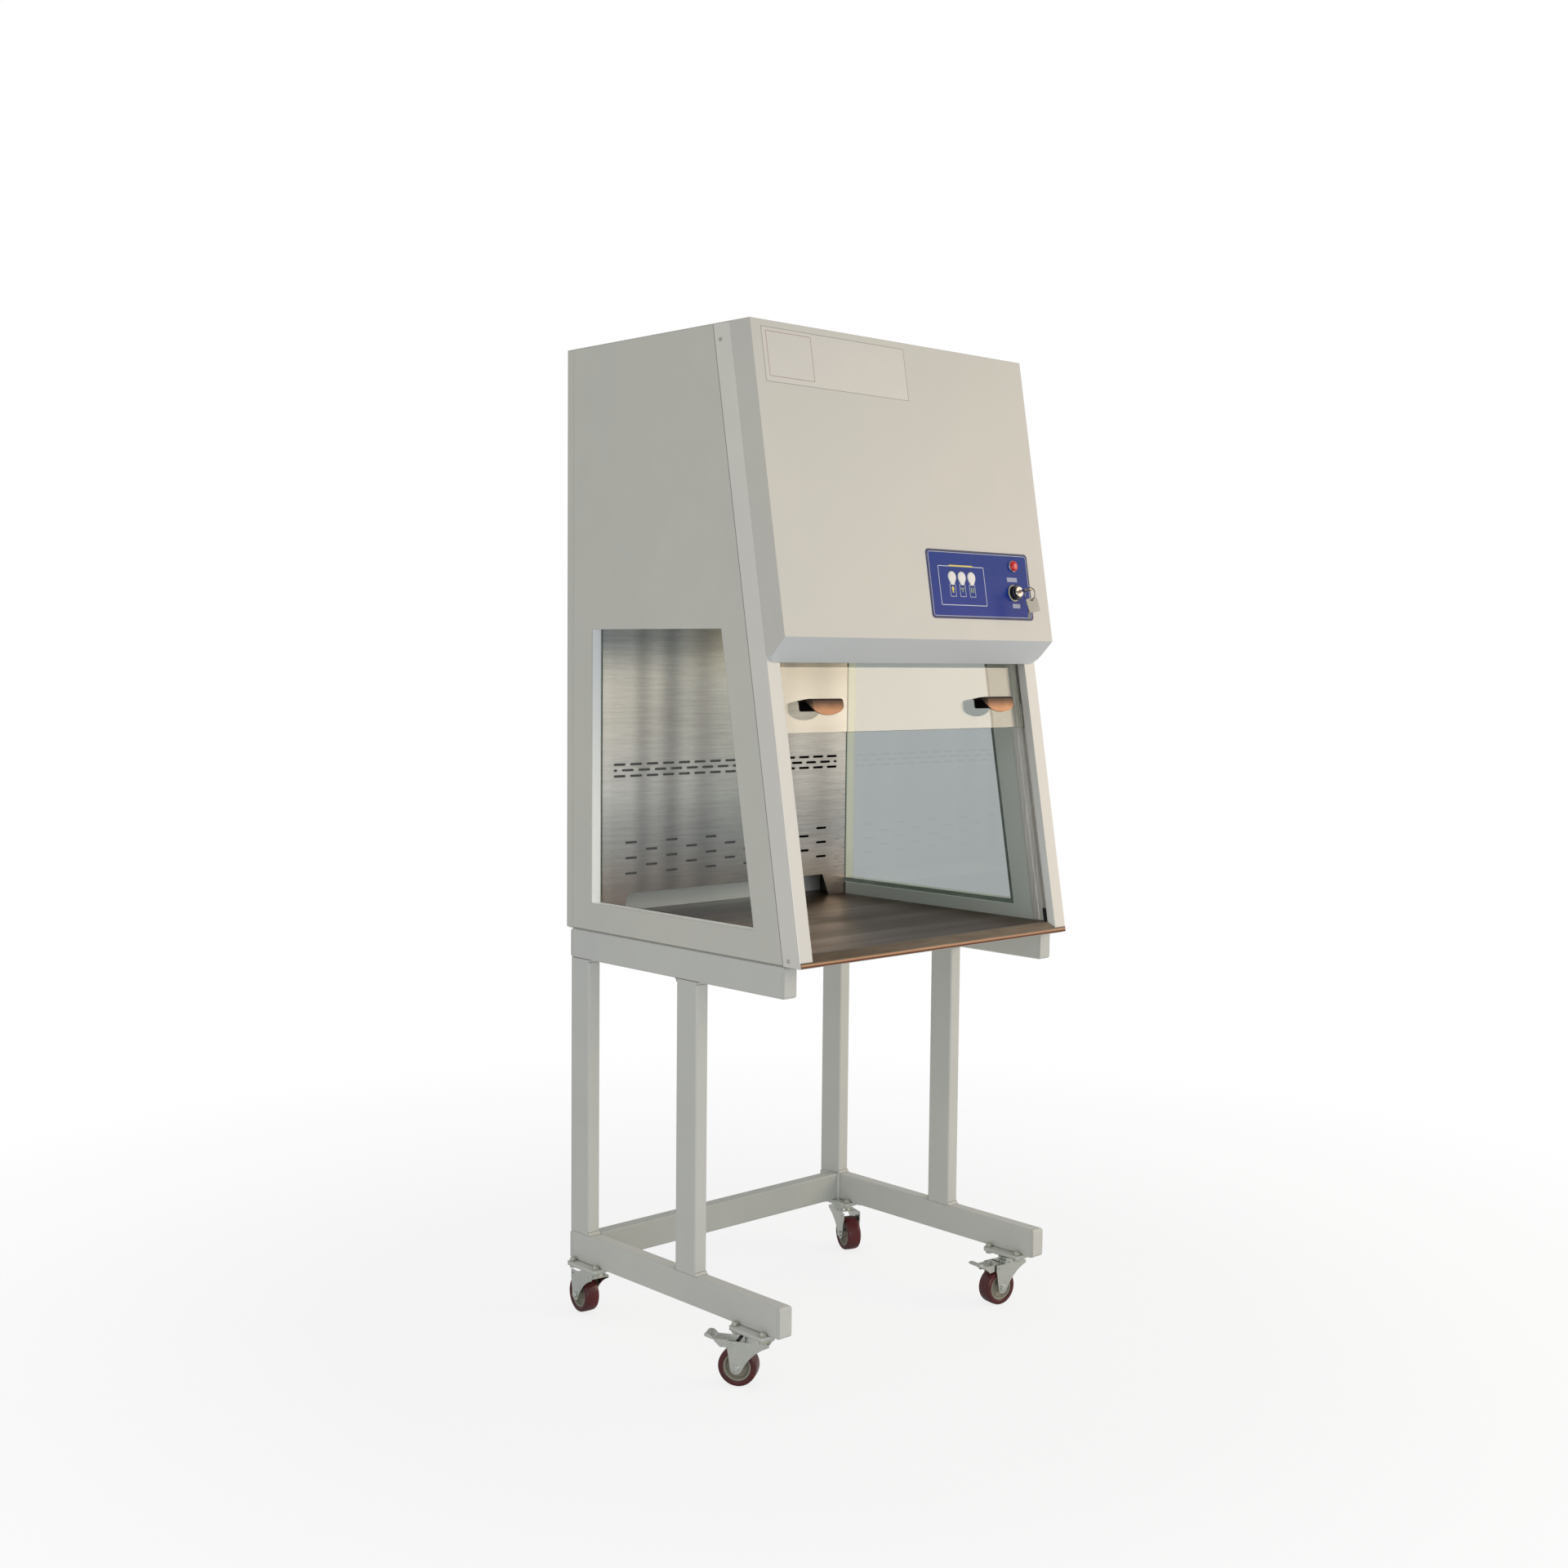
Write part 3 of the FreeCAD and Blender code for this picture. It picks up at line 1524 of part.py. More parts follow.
def blower_wheel():
    """Double-inlet wheel: centre disc, curved blades, two end rings, hub and shaft."""
    cy, cz = blower_axis
    half = wheel_width / 2
    disc = cylinder(wheel_radius, -1.0, 1.0, "x", blower_axis)
    pieces = [cylinder(wheel_hub / 2, -14.0, 14.0, "x", blower_axis)]
    inner = wheel_radius - blade_chord
    for end in (-half, half - ring_sheet):
        band = [circle(wheel_radius, blower_axis), circle(inner, blower_axis)]
        pieces.append(extrude(band, "x", end, end + ring_sheet))
    root = inner + blade_margin
    tip = wheel_radius - blade_margin
    lean = blade_lean / tip
    for i in range(blade_count):
        angle = 2 * math.pi * i / blade_count
        corners = []
        for radius, turn in (
            (root, -blade_sheet / 2 / root),
            (tip, lean - blade_sheet / 2 / tip),
            (tip, lean + blade_sheet / 2 / tip),
            (root, blade_sheet / 2 / root),
        ):
            corners.append((cy + radius * math.cos(angle + turn), cz + radius * math.sin(angle + turn)))
        pieces.append(extrude([outline(corners)], "x", -half + ring_sheet / 2, half - ring_sheet / 2))
    start = blower_width / 2 + motor_gap
    pieces.append(cylinder(shaft_radius, -14.0, start + motor_length / 2, "x", blower_axis))
    return fused(disc, pieces)


def blower_motor():
    """Motor beside the blower, on a pedestal down to the filter box."""
    cy, cz = blower_axis
    start = blower_width / 2 + motor_gap
    end = start + motor_length
    bore = circle(shaft_radius + turn_clearance, blower_axis)
    body = extrude([circle(motor_radius, blower_axis)], "x", start, end)
    shaft_bore = extrude([bore], "x", start - 1, start + motor_length / 2 + seam)
    stand = box((start + 12, end - 12), (cy - motor_radius * 0.7, cy + motor_radius * 0.7),
                (filter_box_top, cz))
    hollow = box((start + 12 + 2 * sheet, end - 12 - 2 * sheet), (cy - motor_radius, cy + motor_radius),
                 (filter_box_top + 2 * sheet, cz - motor_radius - 4 * sheet))
    return fused(body, [stand]).cut(hollow).cut(shaft_bore)


def make_cabinet():
    right = side_panel()
    export("right_side_panel", [right])
    export("left_side_panel", [mirrored(right)])
    export("inner_side_panels", both_sides(inner_side_panel()))
    export("window_panes", both_sides(window_pane()))
    export("window_gaskets", both_sides(window_gasket()))
    export("front_corner_strips", both_sides(front_strip()))
    export("rear_panel", [rear_panel()])
    export("top_panel", [top_panel()])
    export("base_pan", [base_pan()])
    export("worktop", [worktop()])
    export("back_panel", [back_panel()])
    export("hood", [hood()])
    export("power_inlet", [power_inlet()])
    make_screws()


def make_sash():
    export("sash_guides", both_sides(sash_guide()))
    export("sash_stops", both_sides(sash_stop()))
    export("sash_glass", [sash_glass()])
    export("sash_gliders", sash_gliders())
    export("sash_pulls", [sash_pull(-1), sash_pull(1)])


def make_controls():
    export("control_plate", [control_plate()])
    export("control_board", [control_board()])
    export("pilot_bezel", [pilot_bezel()])
    export("pilot_lens", [pilot_lens()])
    for number, x in enumerate(key_x, 1):
        export(f"push_key_{number}", [push_key(x)])
    export("lock_body", lock_body())
    export("lock_barrel", [lock_barrel()])
    export("switch_key", [switch_key()])
    export("key_ring", key_ring())


def make_upper_compartment():
    export("filter_box", [filter_box()])
    export("hepa_filter", hepa_filter())
    export("diffuser_screen", [diffuser_screen()])
    export("front_baffle", [front_baffle()])
    make_lamps()
    export("blower_housing", [blower_housing()])
    export("blower_wheel", [blower_wheel()])
    export("blower_motor", [blower_motor()])


os.makedirs("parts", exist_ok=True)
make_stand()
make_casters()
make_cabinet()
make_sash()
make_controls()
make_upper_compartment()
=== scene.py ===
# %% [markdown]
# # A cabinet for clean bench work, dressed for its portrait
# The sheet metal, the stand and everything that moves arrive finished from the CAD model. This file
# gives every surface its finish, adds the small things that are easier to shape as surfaces than as
# solids, and sets the floor, the light and the camera. All sizes are in metres, +Z is up and the open
# front looks towards -Y, as in the model.

# %% Load the cabinet
import json
import math

import bmesh
import bpy
import numpy as np
from mathutils import Matrix, Vector


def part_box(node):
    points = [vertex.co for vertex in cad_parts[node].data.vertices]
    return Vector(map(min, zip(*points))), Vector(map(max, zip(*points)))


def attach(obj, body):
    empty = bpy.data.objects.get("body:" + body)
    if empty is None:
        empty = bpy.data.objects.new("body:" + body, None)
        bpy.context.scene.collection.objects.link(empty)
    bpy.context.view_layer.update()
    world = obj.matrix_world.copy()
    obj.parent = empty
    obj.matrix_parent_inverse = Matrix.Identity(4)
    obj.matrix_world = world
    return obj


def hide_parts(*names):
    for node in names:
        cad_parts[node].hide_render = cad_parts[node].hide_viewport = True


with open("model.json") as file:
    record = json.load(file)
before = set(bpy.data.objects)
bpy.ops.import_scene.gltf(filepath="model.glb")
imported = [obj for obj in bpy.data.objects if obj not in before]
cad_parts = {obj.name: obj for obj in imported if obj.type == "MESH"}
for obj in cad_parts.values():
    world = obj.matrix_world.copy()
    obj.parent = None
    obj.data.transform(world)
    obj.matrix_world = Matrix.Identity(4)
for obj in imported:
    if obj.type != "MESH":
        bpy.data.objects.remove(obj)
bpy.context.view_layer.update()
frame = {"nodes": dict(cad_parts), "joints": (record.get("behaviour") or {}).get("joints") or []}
nodes = frame["nodes"]
joints = {joint["name"]: joint for joint in frame["joints"]}
mm = 0.001
print("pieces from the model:", len(nodes), "joints:", len(joints))

# %% [markdown]
# ## Directions on the slanted front
# The front of the cabinet leans back, so left-right and up-down on it are not X and Z. The sash slides
# straight up this slant and the lock turns about the line that stands square on it: those two joints
# give the directions, and the lock gives a point on the control plate's face to measure from.

# %% The slanted frame
across = np.array([1.0, 0.0, 0.0])
up_slant = np.array(joints["sash_slide"]["axis"])
out_of_front = np.array(joints["lock_turn"]["axis"])
lock_centre = np.array(joints["lock_turn"]["pos_m"])


def corners_of(node):
    """Every vertex of a model piece, as an array of rows."""
    mesh = nodes[node].data
    places = np.empty(len(mesh.vertices) * 3, np.float32)
    mesh.vertices.foreach_get("co", places)
    return places.reshape(-1, 3).astype(float)


def reach(node, direction):
    """How far a piece reaches along a direction: its lowest and highest dot product with it."""
    along = corners_of(node) @ np.asarray(direction, float)
    return along.min(), along.max()


def on_front(x, rise, lift=0.0):
    """Point at a given x, a rise up the slant from the lock's centre, and a lift off the plate's face."""
    x, rise, lift = np.broadcast_arrays(*(np.asarray(value, float) for value in (x, rise, lift)))
    start = lock_centre - across * lock_centre[0]
    return start + x[..., None] * across + rise[..., None] * up_slant + lift[..., None] * out_of_front


cabinet_middle = sum(reach("hood", across)) / 2
slant_degrees = math.degrees(math.atan2(up_slant[1], up_slant[2]))
print(f"the front leans back by {slant_degrees:.1f} degrees, its middle is at x {cabinet_middle:.4f}")

# %% [markdown]
# ## Surfaces from arrays
# A piece here is a stack of rings: closed loops of points with the same count, one after the other along
# a path. A turned piece is a stack of circles, a plate is its outline at a few heights, a wire is a
# circle carried along a line. One helper joins neighbouring rings with quads, all at once, and closes the
# two ends. That keeps every piece watertight.

# %% Rings, caps and meshes
def stack(rings, closed=False):
    """Skin over rings of shape (rings, points, 3): quads from each ring to the next, then both ends.

    With closed, the last ring joins the first, as on a ring or a turned piece with a hole.
    """
    count, around = rings.shape[:2]
    index = np.arange(count * around).reshape(count, around)
    lower = index if closed else index[:-1]
    upper = np.roll(index, -1, axis=0) if closed else index[1:]
    quads = np.stack([lower, np.roll(lower, -1, 1), np.roll(upper, -1, 1), upper], axis=-1)
    faces = quads.reshape(-1, 4).tolist()
    if not closed:
        faces.append(index[0, ::-1].tolist())
        faces.append(index[-1].tolist())
    return rings.reshape(-1, 3), faces


def make(name, skins, finish, body, hides=(), crisp=35.0):
    """One object from several skins: merged, faces turned outwards, smooth up to an angle in degrees."""
    places, faces, start = [], [], 0
    for points, skin_faces in skins:
        places.append(points)
        faces += [[corner + start for corner in face] for face in skin_faces]
        start += len(points)
    mesh = bpy.data.meshes.new(name)
    mesh.from_pydata(np.concatenate(places).tolist(), [], faces)
    mesh.materials.append(finish)
    mesh.shade_smooth()
    mesh.set_sharp_from_angle(angle=math.radians(crisp))
    mesh.update()
    piece = bpy.data.objects.new(name, mesh)
    bpy.context.scene.collection.objects.link(piece)
    work = bmesh.new()
    work.from_mesh(mesh)
    bmesh.ops.remove_doubles(work, verts=work.verts, dist=1e-6)
    bmesh.ops.recalc_face_normals(work, faces=work.faces)
    work.to_mesh(mesh)
    work.free()
    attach(piece, body)
    if hides:
        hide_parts(*hides)
    return piece


def side_directions(axis):
    """Two unit directions that stand square on an axis and on each other."""
    axis = np.asarray(axis, float)
    helper = np.array([0.0, 0.0, 1.0]) if abs(axis[2]) < 0.9 else np.array([1.0, 0.0, 0.0])
    first = np.cross(helper, axis)
    first /= np.linalg.norm(first)
    return first, np.cross(axis, first)


def turned(profile, centre, axis, segments=96, closed=False):
    """Turned piece: a profile of (radius, height) rows swept once round an axis through a centre.

    Each point goes to centre + height * axis + radius * (cos t * u + sin t * v), t from 0 to a full turn.
    """
    profile = np.asarray(profile, float)
    axis = np.asarray(axis, float)
    u, v = side_directions(axis)
    t = np.linspace(0.0, 2.0 * math.pi, segments, endpoint=False)
    spokes = np.cos(t)[:, None] * u + np.sin(t)[:, None] * v
    radius = np.maximum(profile[:, 0], 1e-5)[:, None, None]
    height = profile[:, 1][:, None, None]
    return stack(np.asarray(centre) + height * axis + radius * spokes, closed)


def round_corners(profile, radius, steps=4):
    """Profile with its corners rounded: each inner corner becomes a short Bezier bow between two cuts."""
    profile = np.asarray(profile, float)
    before = profile[:-2] - profile[1:-1]
    after = profile[2:] - profile[1:-1]
    before_length = np.linalg.norm(before, axis=1, keepdims=True)
    after_length = np.linalg.norm(after, axis=1, keepdims=True)
    cut = np.minimum(radius, 0.45 * np.minimum(before_length, after_length))
    start = profile[1:-1] + before / before_length * cut
    end = profile[1:-1] + after / after_length * cut
    s = np.linspace(0.0, 1.0, steps + 1)[None, :, None]
    bows = (1 - s) ** 2 * start[:, None] + 2 * s * (1 - s) * profile[1:-1][:, None] + s**2 * end[:, None]
    return np.concatenate([profile[:1], bows.reshape(-1, profile.shape[1]), profile[-1:]])


def rounded_loop(width, height, radius, steps=6):
    """Closed loop of a rectangle with round corners: four quarter circles, one after the other."""
    t = np.linspace(0.0, math.pi / 2, steps + 1)
    loops = []
    for quarter, (sx, sy) in enumerate(((1, 1), (-1, 1), (-1, -1), (1, -1))):
        angle = t + quarter * math.pi / 2
        centre = np.array([sx * (width / 2 - radius), sy * (height / 2 - radius)])
        loops.append(centre + radius * np.stack([np.cos(angle), np.sin(angle)], axis=1))
    return np.concatenate(loops)


def inset(loop, distance):
    """Loop moved inwards by a distance, each point along the mean of its two sides' normals."""
    before = loop - np.roll(loop, 1, axis=0)
    after = np.roll(loop, -1, axis=0) - loop
    sides = np.stack([before, after])
    sides /= np.maximum(np.linalg.norm(sides, axis=2, keepdims=True), 1e-9)
    normal = np.stack([-sides[..., 1], sides[..., 0]], axis=-1)
    mean = normal.sum(axis=0)
    mean /= np.maximum(np.linalg.norm(mean, axis=1, keepdims=True), 1e-9)
    stretch = np.maximum((mean * normal[0]).sum(axis=1, keepdims=True), 0.5)
    return loop + mean / stretch * distance


def plate_on_front(loop, centre_x, centre_rise, foot, top, edge=0.0, steps=4):
    """Plate that stands on the control face: its loop from foot to top, the top edge rounded.

    Over the rounding the loop moves in by edge * (1 - cos t) while it rises by edge * sin t.
    """
    t = np.linspace(0.0, math.pi / 2, steps + 1) if edge else np.zeros(1)
    moves = edge * (1 - np.cos(t))
    lifts = top - edge + edge * np.sin(t) if edge else np.array([top])
    outlines = [loop] + [inset(loop, move) for move in moves]
    levels = np.concatenate([[foot], lifts])
    rings = np.stack([
        on_front(centre_x + outline[:, 0], centre_rise + outline[:, 1], level)
        for outline, level in zip(outlines, levels)
    ])
    return stack(rings)


# %% [markdown]
# ## A kit for finishes
# Each finish is a small tree of nodes that reads Object coordinates, so a pattern has its real size
# wherever the piece is. Most finishes share three ingredients: a base colour that drifts a little, a
# roughness that drifts too, and a relief too fine to model.

# %% Node helpers
def linear(red, green, blue):
    """Colour as a camera stores it, 0 to 255, turned into the linear light that shaders use."""
    code = np.array([red, green, blue]) / 255.0
    light = np.where(code <= 0.04045, code / 12.92, ((code + 0.055) / 1.055) ** 2.4)
    return (*light.tolist(), 1.0)


class Finish:
    """A material under construction: its tree, its shader, and the links between the nodes."""

    def __init__(self, name, colour, roughness, metallic=0.0):
        """A new material whose shader has this colour, roughness and metal share."""
        self.material = bpy.data.materials.new(name)
        self.material.use_nodes = True
        self.tree = self.material.node_tree
        self.shader = self.tree.nodes["Principled BSDF"]
        self.output = self.tree.nodes["Material Output"]
        self.shader.inputs["Base Color"].default_value = colour
        self.shader.inputs["Roughness"].default_value = roughness
        self.shader.inputs["Metallic"].default_value = metallic
        here = self.tree.nodes.new("ShaderNodeTexCoord").outputs
        self.place, self.facing = here["Object"], here["Normal"]

    def node(self, kind, **values):
        """New node with its inputs filled in; a socket is linked and anything else is a value."""
        made = self.tree.nodes.new(kind)
        for key, value in values.items():
            socket = made.inputs[int(key[1:])] if key[0] == "i" and key[1:].isdigit() else None
            socket = socket or made.inputs.get(key.replace("_", " "))
            if socket is None:
                setattr(made, key, value)
            elif isinstance(value, bpy.types.NodeSocket):
                self.tree.links.new(value, socket)
            else:
                socket.default_value = value
        return made

    def grain(self, per_metre, detail=2.0, rough=0.5, bend=0.0):
        """Noise with so many features per metre along X, Y and Z: equal for speckle, unequal for brushing."""
        scaled = self.node("ShaderNodeMapping", Vector=self.place, Scale=per_metre)
        noise = self.node("ShaderNodeTexNoise", Vector=scaled.outputs[0], Scale=1.0, Detail=detail,
                          Roughness=rough, Distortion=bend)
        return noise.outputs["Fac"]

    def between(self, field, low, high, start=0.3, end=0.7):
        """A field's middle span, from start to end, stretched to run from low to high."""
        span = self.node("ShaderNodeMapRange", Value=field, From_Min=start, From_Max=end,
                         To_Min=low, To_Max=high)
        return span.outputs[0]

    def product(self, first, second):
        """Two fields, or a field and a number, multiplied."""
        return self.node("ShaderNodeMath", operation="MULTIPLY", i0=first, i1=second).outputs[0]

    def total(self, first, second):
        """Two fields, or a field and a number, added."""
        return self.node("ShaderNodeMath", operation="ADD", i0=first, i1=second).outputs[0]

    def tint(self, field, low, high):
        """Colour that runs from low to high as the field runs from 0 to 1."""
        mixed = self.node("ShaderNodeMix", data_type="RGBA")
        self.tree.links.new(field, mixed.inputs[0])
        for socket, value in ((mixed.inputs[6], low), (mixed.inputs[7], high)):
            if isinstance(value, bpy.types.NodeSocket):
                self.tree.links.new(value, socket)
            else:
                socket.default_value = value
        return mixed.outputs[2]

    def shade(self, colour, brightness):
        """Colour times a brightness field."""
        start = colour if isinstance(colour, bpy.types.NodeSocket) else colour[:3]
        scaled = self.node("ShaderNodeVectorMath", operation="SCALE", i0=start, Scale=brightness)
        return scaled.outputs[0]

    def seen_through(self, colour, stain):
        """One colour seen through another: their product, part by part."""
        parts = [part if isinstance(part, bpy.types.NodeSocket) else part[:3] for part in (colour, stain)]
        return self.node("ShaderNodeVectorMath", operation="MULTIPLY", i0=parts[0], i1=parts[1]).outputs[0]

    def along(self, direction, what=None):
        """Dot product of a direction with the place, in metres, or with what is given instead."""
        line = self.node("ShaderNodeVectorMath", operation="DOT_PRODUCT", i0=what or self.place,
                         i1=tuple(direction))
        return line.outputs["Value"]

    def above(self, field, level):
        """1 where a field is above a level, 0 elsewhere."""
        return self.node("ShaderNodeMath", operation="GREATER_THAN", i0=field, i1=level).outputs[0]

    def below(self, field, level):
        """1 where a field is below a level, 0 elsewhere."""
        return self.node("ShaderNodeMath", operation="LESS_THAN", i0=field, i1=level).outputs[0]

    def size_of(self, field):
        """A field without its sign."""
        return self.node("ShaderNodeMath", operation="ABSOLUTE", i0=field).outputs[0]

    def curve(self, field, stops):
        """Brightness that follows (place, brightness) stops over a field from 0 to 1, eased between them."""
        ramp = self.node("ShaderNodeValToRGB", Fac=field)
        ramp.color_ramp.interpolation = "EASE"
        elements = ramp.color_ramp.elements
        for place, brightness in stops[2:]:
            elements.new(place)
        for element, (place, brightness) in zip(elements, stops):
            element.position = place
            element.color = (brightness, brightness, brightness, 1.0)
        return ramp.outputs["Color"]

    def paint(self, colour):
        """Make a colour socket the shader's base colour."""
        self.tree.links.new(colour, self.shader.inputs["Base Color"])

    def rough(self, field):
        """Make a field the shader's roughness."""
        self.tree.links.new(field, self.shader.inputs["Roughness"])

    def relief(self, height, depth, soft_edge=0.0):
        """Bump of a real depth in metres, over edges that look rounded by soft_edge metres."""
        bump = self.node("ShaderNodeBump", Height=height, Strength=1.0, Distance=depth)
        if soft_edge:
            edge = self.node("ShaderNodeBevel", samples=4, Radius=soft_edge)
            self.tree.links.new(edge.outputs[0], bump.inputs["Normal"])
        self.tree.links.new(bump.outputs[0], self.shader.inputs["Normal"])

    def split(self):
        """The X, Y and Z parts of the place on the piece."""
        return self.node("ShaderNodeSeparateXYZ", Vector=self.place).outputs


def times(colour, factor):
    """Colour made darker or lighter by a factor."""
    return (*(min(part * factor, 1.0) for part in colour[:3]), 1.0)


def plain_finish(name, colour, roughness, metallic=0.0, speckle=700.0, depth=0.00003, drift=0.06,
                 rough_drift=0.06, soft_edge=0.0004):
    """Moulded, plated or painted finish: slow drift in colour and roughness over a fine speckle."""
    made = Finish(name, colour, roughness, metallic)
    slow = made.grain((22.0, 22.0, 22.0), 3.0)
    fine = made.grain((speckle, speckle, speckle), 2.0)
    made.paint(made.tint(made.between(slow, 0.0, 1.0), times(colour, 1 - drift), times(colour, 1 + drift)))
    made.rough(made.between(fine, max(roughness - rough_drift, 0.02), min(roughness + rough_drift, 1.0)))
    made.relief(fine, depth, soft_edge)
    return made


# %% [markdown]
# ## Powder coat
# The whole cabinet and its stand wear one baked powder coat in a warm light grey. Close up it has the
# skin of an orange: bumps about a millimetre wide and a few hundredths deep. It also goes a little
# yellow and dull where hands and cleaning cloths have been, so a slow drift in colour runs under the
# bumps, and a bevel on the normals gives folded edges the small highlight that bent sheet has. The faces of
# the hood that look down are painted cooler than its face: painted light from below. The corner strips are
# the palest, and low on the side that faces the opening they are painted paler still: painted light for the
# light that side lacks.

# %% Powder-coated sheet and tube
def powder_coat(name, colour, roughness, soft_edge):
    """Orange-peel relief, with slow stains and clouds; base is kept for coats that add a second tone."""
    made = Finish(name, colour, roughness)
    stains = made.grain((2.2, 2.2, 1.1), 4.0, 0.55, 0.6)
    clouds = made.grain((11.0, 11.0, 11.0), 3.0)
    peel = made.grain((620.0, 620.0, 620.0), 2.0)
    tone = made.total(made.between(stains, -0.025, 0.025), made.between(clouds, 0.985, 1.015))
    yellowed = (colour[0], colour[1], colour[2] * 0.965, 1.0)
    warm = made.tint(made.between(stains, 0.0, 1.0), colour, yellowed)
    made.base = made.shade(warm, tone)
    made.paint(made.base)
    made.rough(made.total(made.between(clouds, -0.04, 0.05),
                          made.between(peel, roughness - 0.04, roughness + 0.04)))
    made.relief(peel, 0.00005, soft_edge)
    return made


cabinet_colour = linear(204, 202, 193)
cabinet_paint = powder_coat("cabinet_powder_coat", cabinet_colour, 0.42, 0.0014).material
hood_coat = powder_coat("hood_powder_coat", linear(205, 202, 194), 0.42, 0.0014)
# Painted light: faces of the hood that look down are painted cooler, for the cool light they get from below.
painted_cool_underside = hood_coat.below(hood_coat.along((0.0, 0.0, 1.0), hood_coat.facing), -0.3)
hood_coat.paint(hood_coat.tint(painted_cool_underside, hood_coat.base, linear(207, 210, 210)))
hood_paint = hood_coat.material
strip_coat = powder_coat("corner_strip_coat", linear(222, 218, 210), 0.42, 0.0014)
strip_x, _, strip_z = strip_coat.split()[:3]
from_middle = strip_coat.total(strip_x, -cabinet_middle)
towards_opening = strip_coat.below(
    strip_coat.product(strip_coat.along(across, strip_coat.facing), from_middle), 0.0)
# Painted light: low on the face that looks towards the opening, each strip is painted paler.
painted_light_low_inner = strip_coat.product(towards_opening, strip_coat.between(strip_z, 1.0, 0.0, 0.95, 1.25))
strip_coat.paint(strip_coat.tint(painted_light_low_inner, strip_coat.base, linear(248, 248, 242)))
strip_paint = strip_coat.material
stand_paint = powder_coat("stand_powder_coat", linear(203, 203, 197), 0.45, 0.0012).material
# Painted shade: the crossbars wear a darker copy of the stand's coat.
crossbar_paint = powder_coat("crossbar_coat", linear(186, 188, 183), 0.45, 0.0012).material
duct_paint = powder_coat("duct_coat", linear(200, 206, 199), 0.38, 0.0008).material
cap_paint = powder_coat("rail_end_coat", linear(200, 200, 195), 0.5, 0.0015).material
print("coats:", cabinet_paint.name, stand_paint.name, duct_paint.name, cap_paint.name)

# %% [markdown]
# Three sheets need more than one tone. Each side panel has a painted shadow line where it meets the corner
# strip and the stand, finer than the model's seam can show, and its window reveal is painted in a tone of its
# own, near white on the left, as painted light, and a little greener on the right. The liner has a dark line
# of painted shade where the steel back meets it. The rear panel's inner face is painted near white low down
# and almost black
# behind the slots: painted light and shade for the air space there, which is why the slots look black.

# %% Side panels, liner and rear panel
seam_shadow = 1.3 * mm


def side_coat(name, node, outwards, reveal_white):
    """Powder coat with a painted shadow line at the front and bottom edges, and a reveal behind the face in a
    tone of its own.
    """
    made = powder_coat(name, cabinet_colour, 0.42, 0.0014)
    face = reach(node, across * outwards)[1]
    front_edge = reach(node, out_of_front)[1]
    foot = reach(node, (0.0, 0.0, 1.0))[0]
    # The reveal's own tone is painted light where it is near white.
    reveal = made.below(made.along(across * outwards), face - 2.4 * mm)
    front_seam = made.above(made.along(out_of_front), front_edge - seam_shadow)
    foot_seam = made.below(made.split()[2], foot + seam_shadow)
    seam = made.between(made.total(front_seam, foot_seam), 0.0, 0.62, 0.0, 1.0)
    made.paint(made.tint(seam, made.tint(reveal, made.base, reveal_white), linear(60, 58, 54)))
    return made.material


left_paint = side_coat("left_panel_coat", "left_side_panel", -1.0, linear(246, 247, 248))
right_paint = side_coat("right_panel_coat", "right_side_panel", 1.0, linear(208, 210, 194))

liner_coat = powder_coat("liner_coat", linear(200, 206, 198), 0.38, 0.0008)
steel_front = reach("back_panel", (0.0, 1.0, 0.0))[0]
# Painted shade: a dark line along the corner where the steel back meets the liner.
painted_corner_shade = liner_coat.above(liner_coat.split()[1], steel_front - 4.0 * mm)
liner_coat.paint(liner_coat.tint(painted_corner_shade, liner_coat.base, linear(66, 68, 60)))
liner_paint = liner_coat.material

rear_coat = powder_coat("rear_panel_coat", cabinet_colour, 0.45, 0.0014)
rear_x, rear_y, rear_z = rear_coat.split()[:3]
rear_face = reach("rear_panel", (0.0, 1.0, 0.0))[1]
rear_half = reach("rear_panel", across)[1] - cabinet_middle
indoors = rear_coat.product(
    rear_coat.below(rear_y, rear_face - 1.0 * mm),
    rear_coat.below(rear_coat.size_of(rear_coat.total(rear_x, -cabinet_middle)), rear_half - 1.0 * mm))
# Painted light and shade on the inner face: near white low down, almost black higher up, for the shaded air
# space behind the slots.
plenum_shade_foot = reach("worktop", (0.0, 0.0, 1.0))[1] + 62.0 * mm
plenum_shade = rear_coat.above(rear_z, plenum_shade_foot)
inner_light_and_shade = rear_coat.tint(plenum_shade, linear(246, 246, 242), linear(52, 50, 47))
rear_coat.paint(rear_coat.tint(indoors, rear_coat.base, inner_light_and_shade))
rear_paint = rear_coat.material
print("side panels:", left_paint.name, right_paint.name, "rear:", rear_paint.name)

# %% [markdown]
# ## Brushed stainless steel
# The back panel and the worktop are stainless sheet, rolled and then brushed in one direction. Brushing
# is noise that is stretched along the strokes: thousands of features per metre across them and only a
# few along them. It drives the roughness and a very shallow relief. The back panel also gets broad
# upright bands painted into its colour: a painted reflection of the room, which it mirrors unevenly.

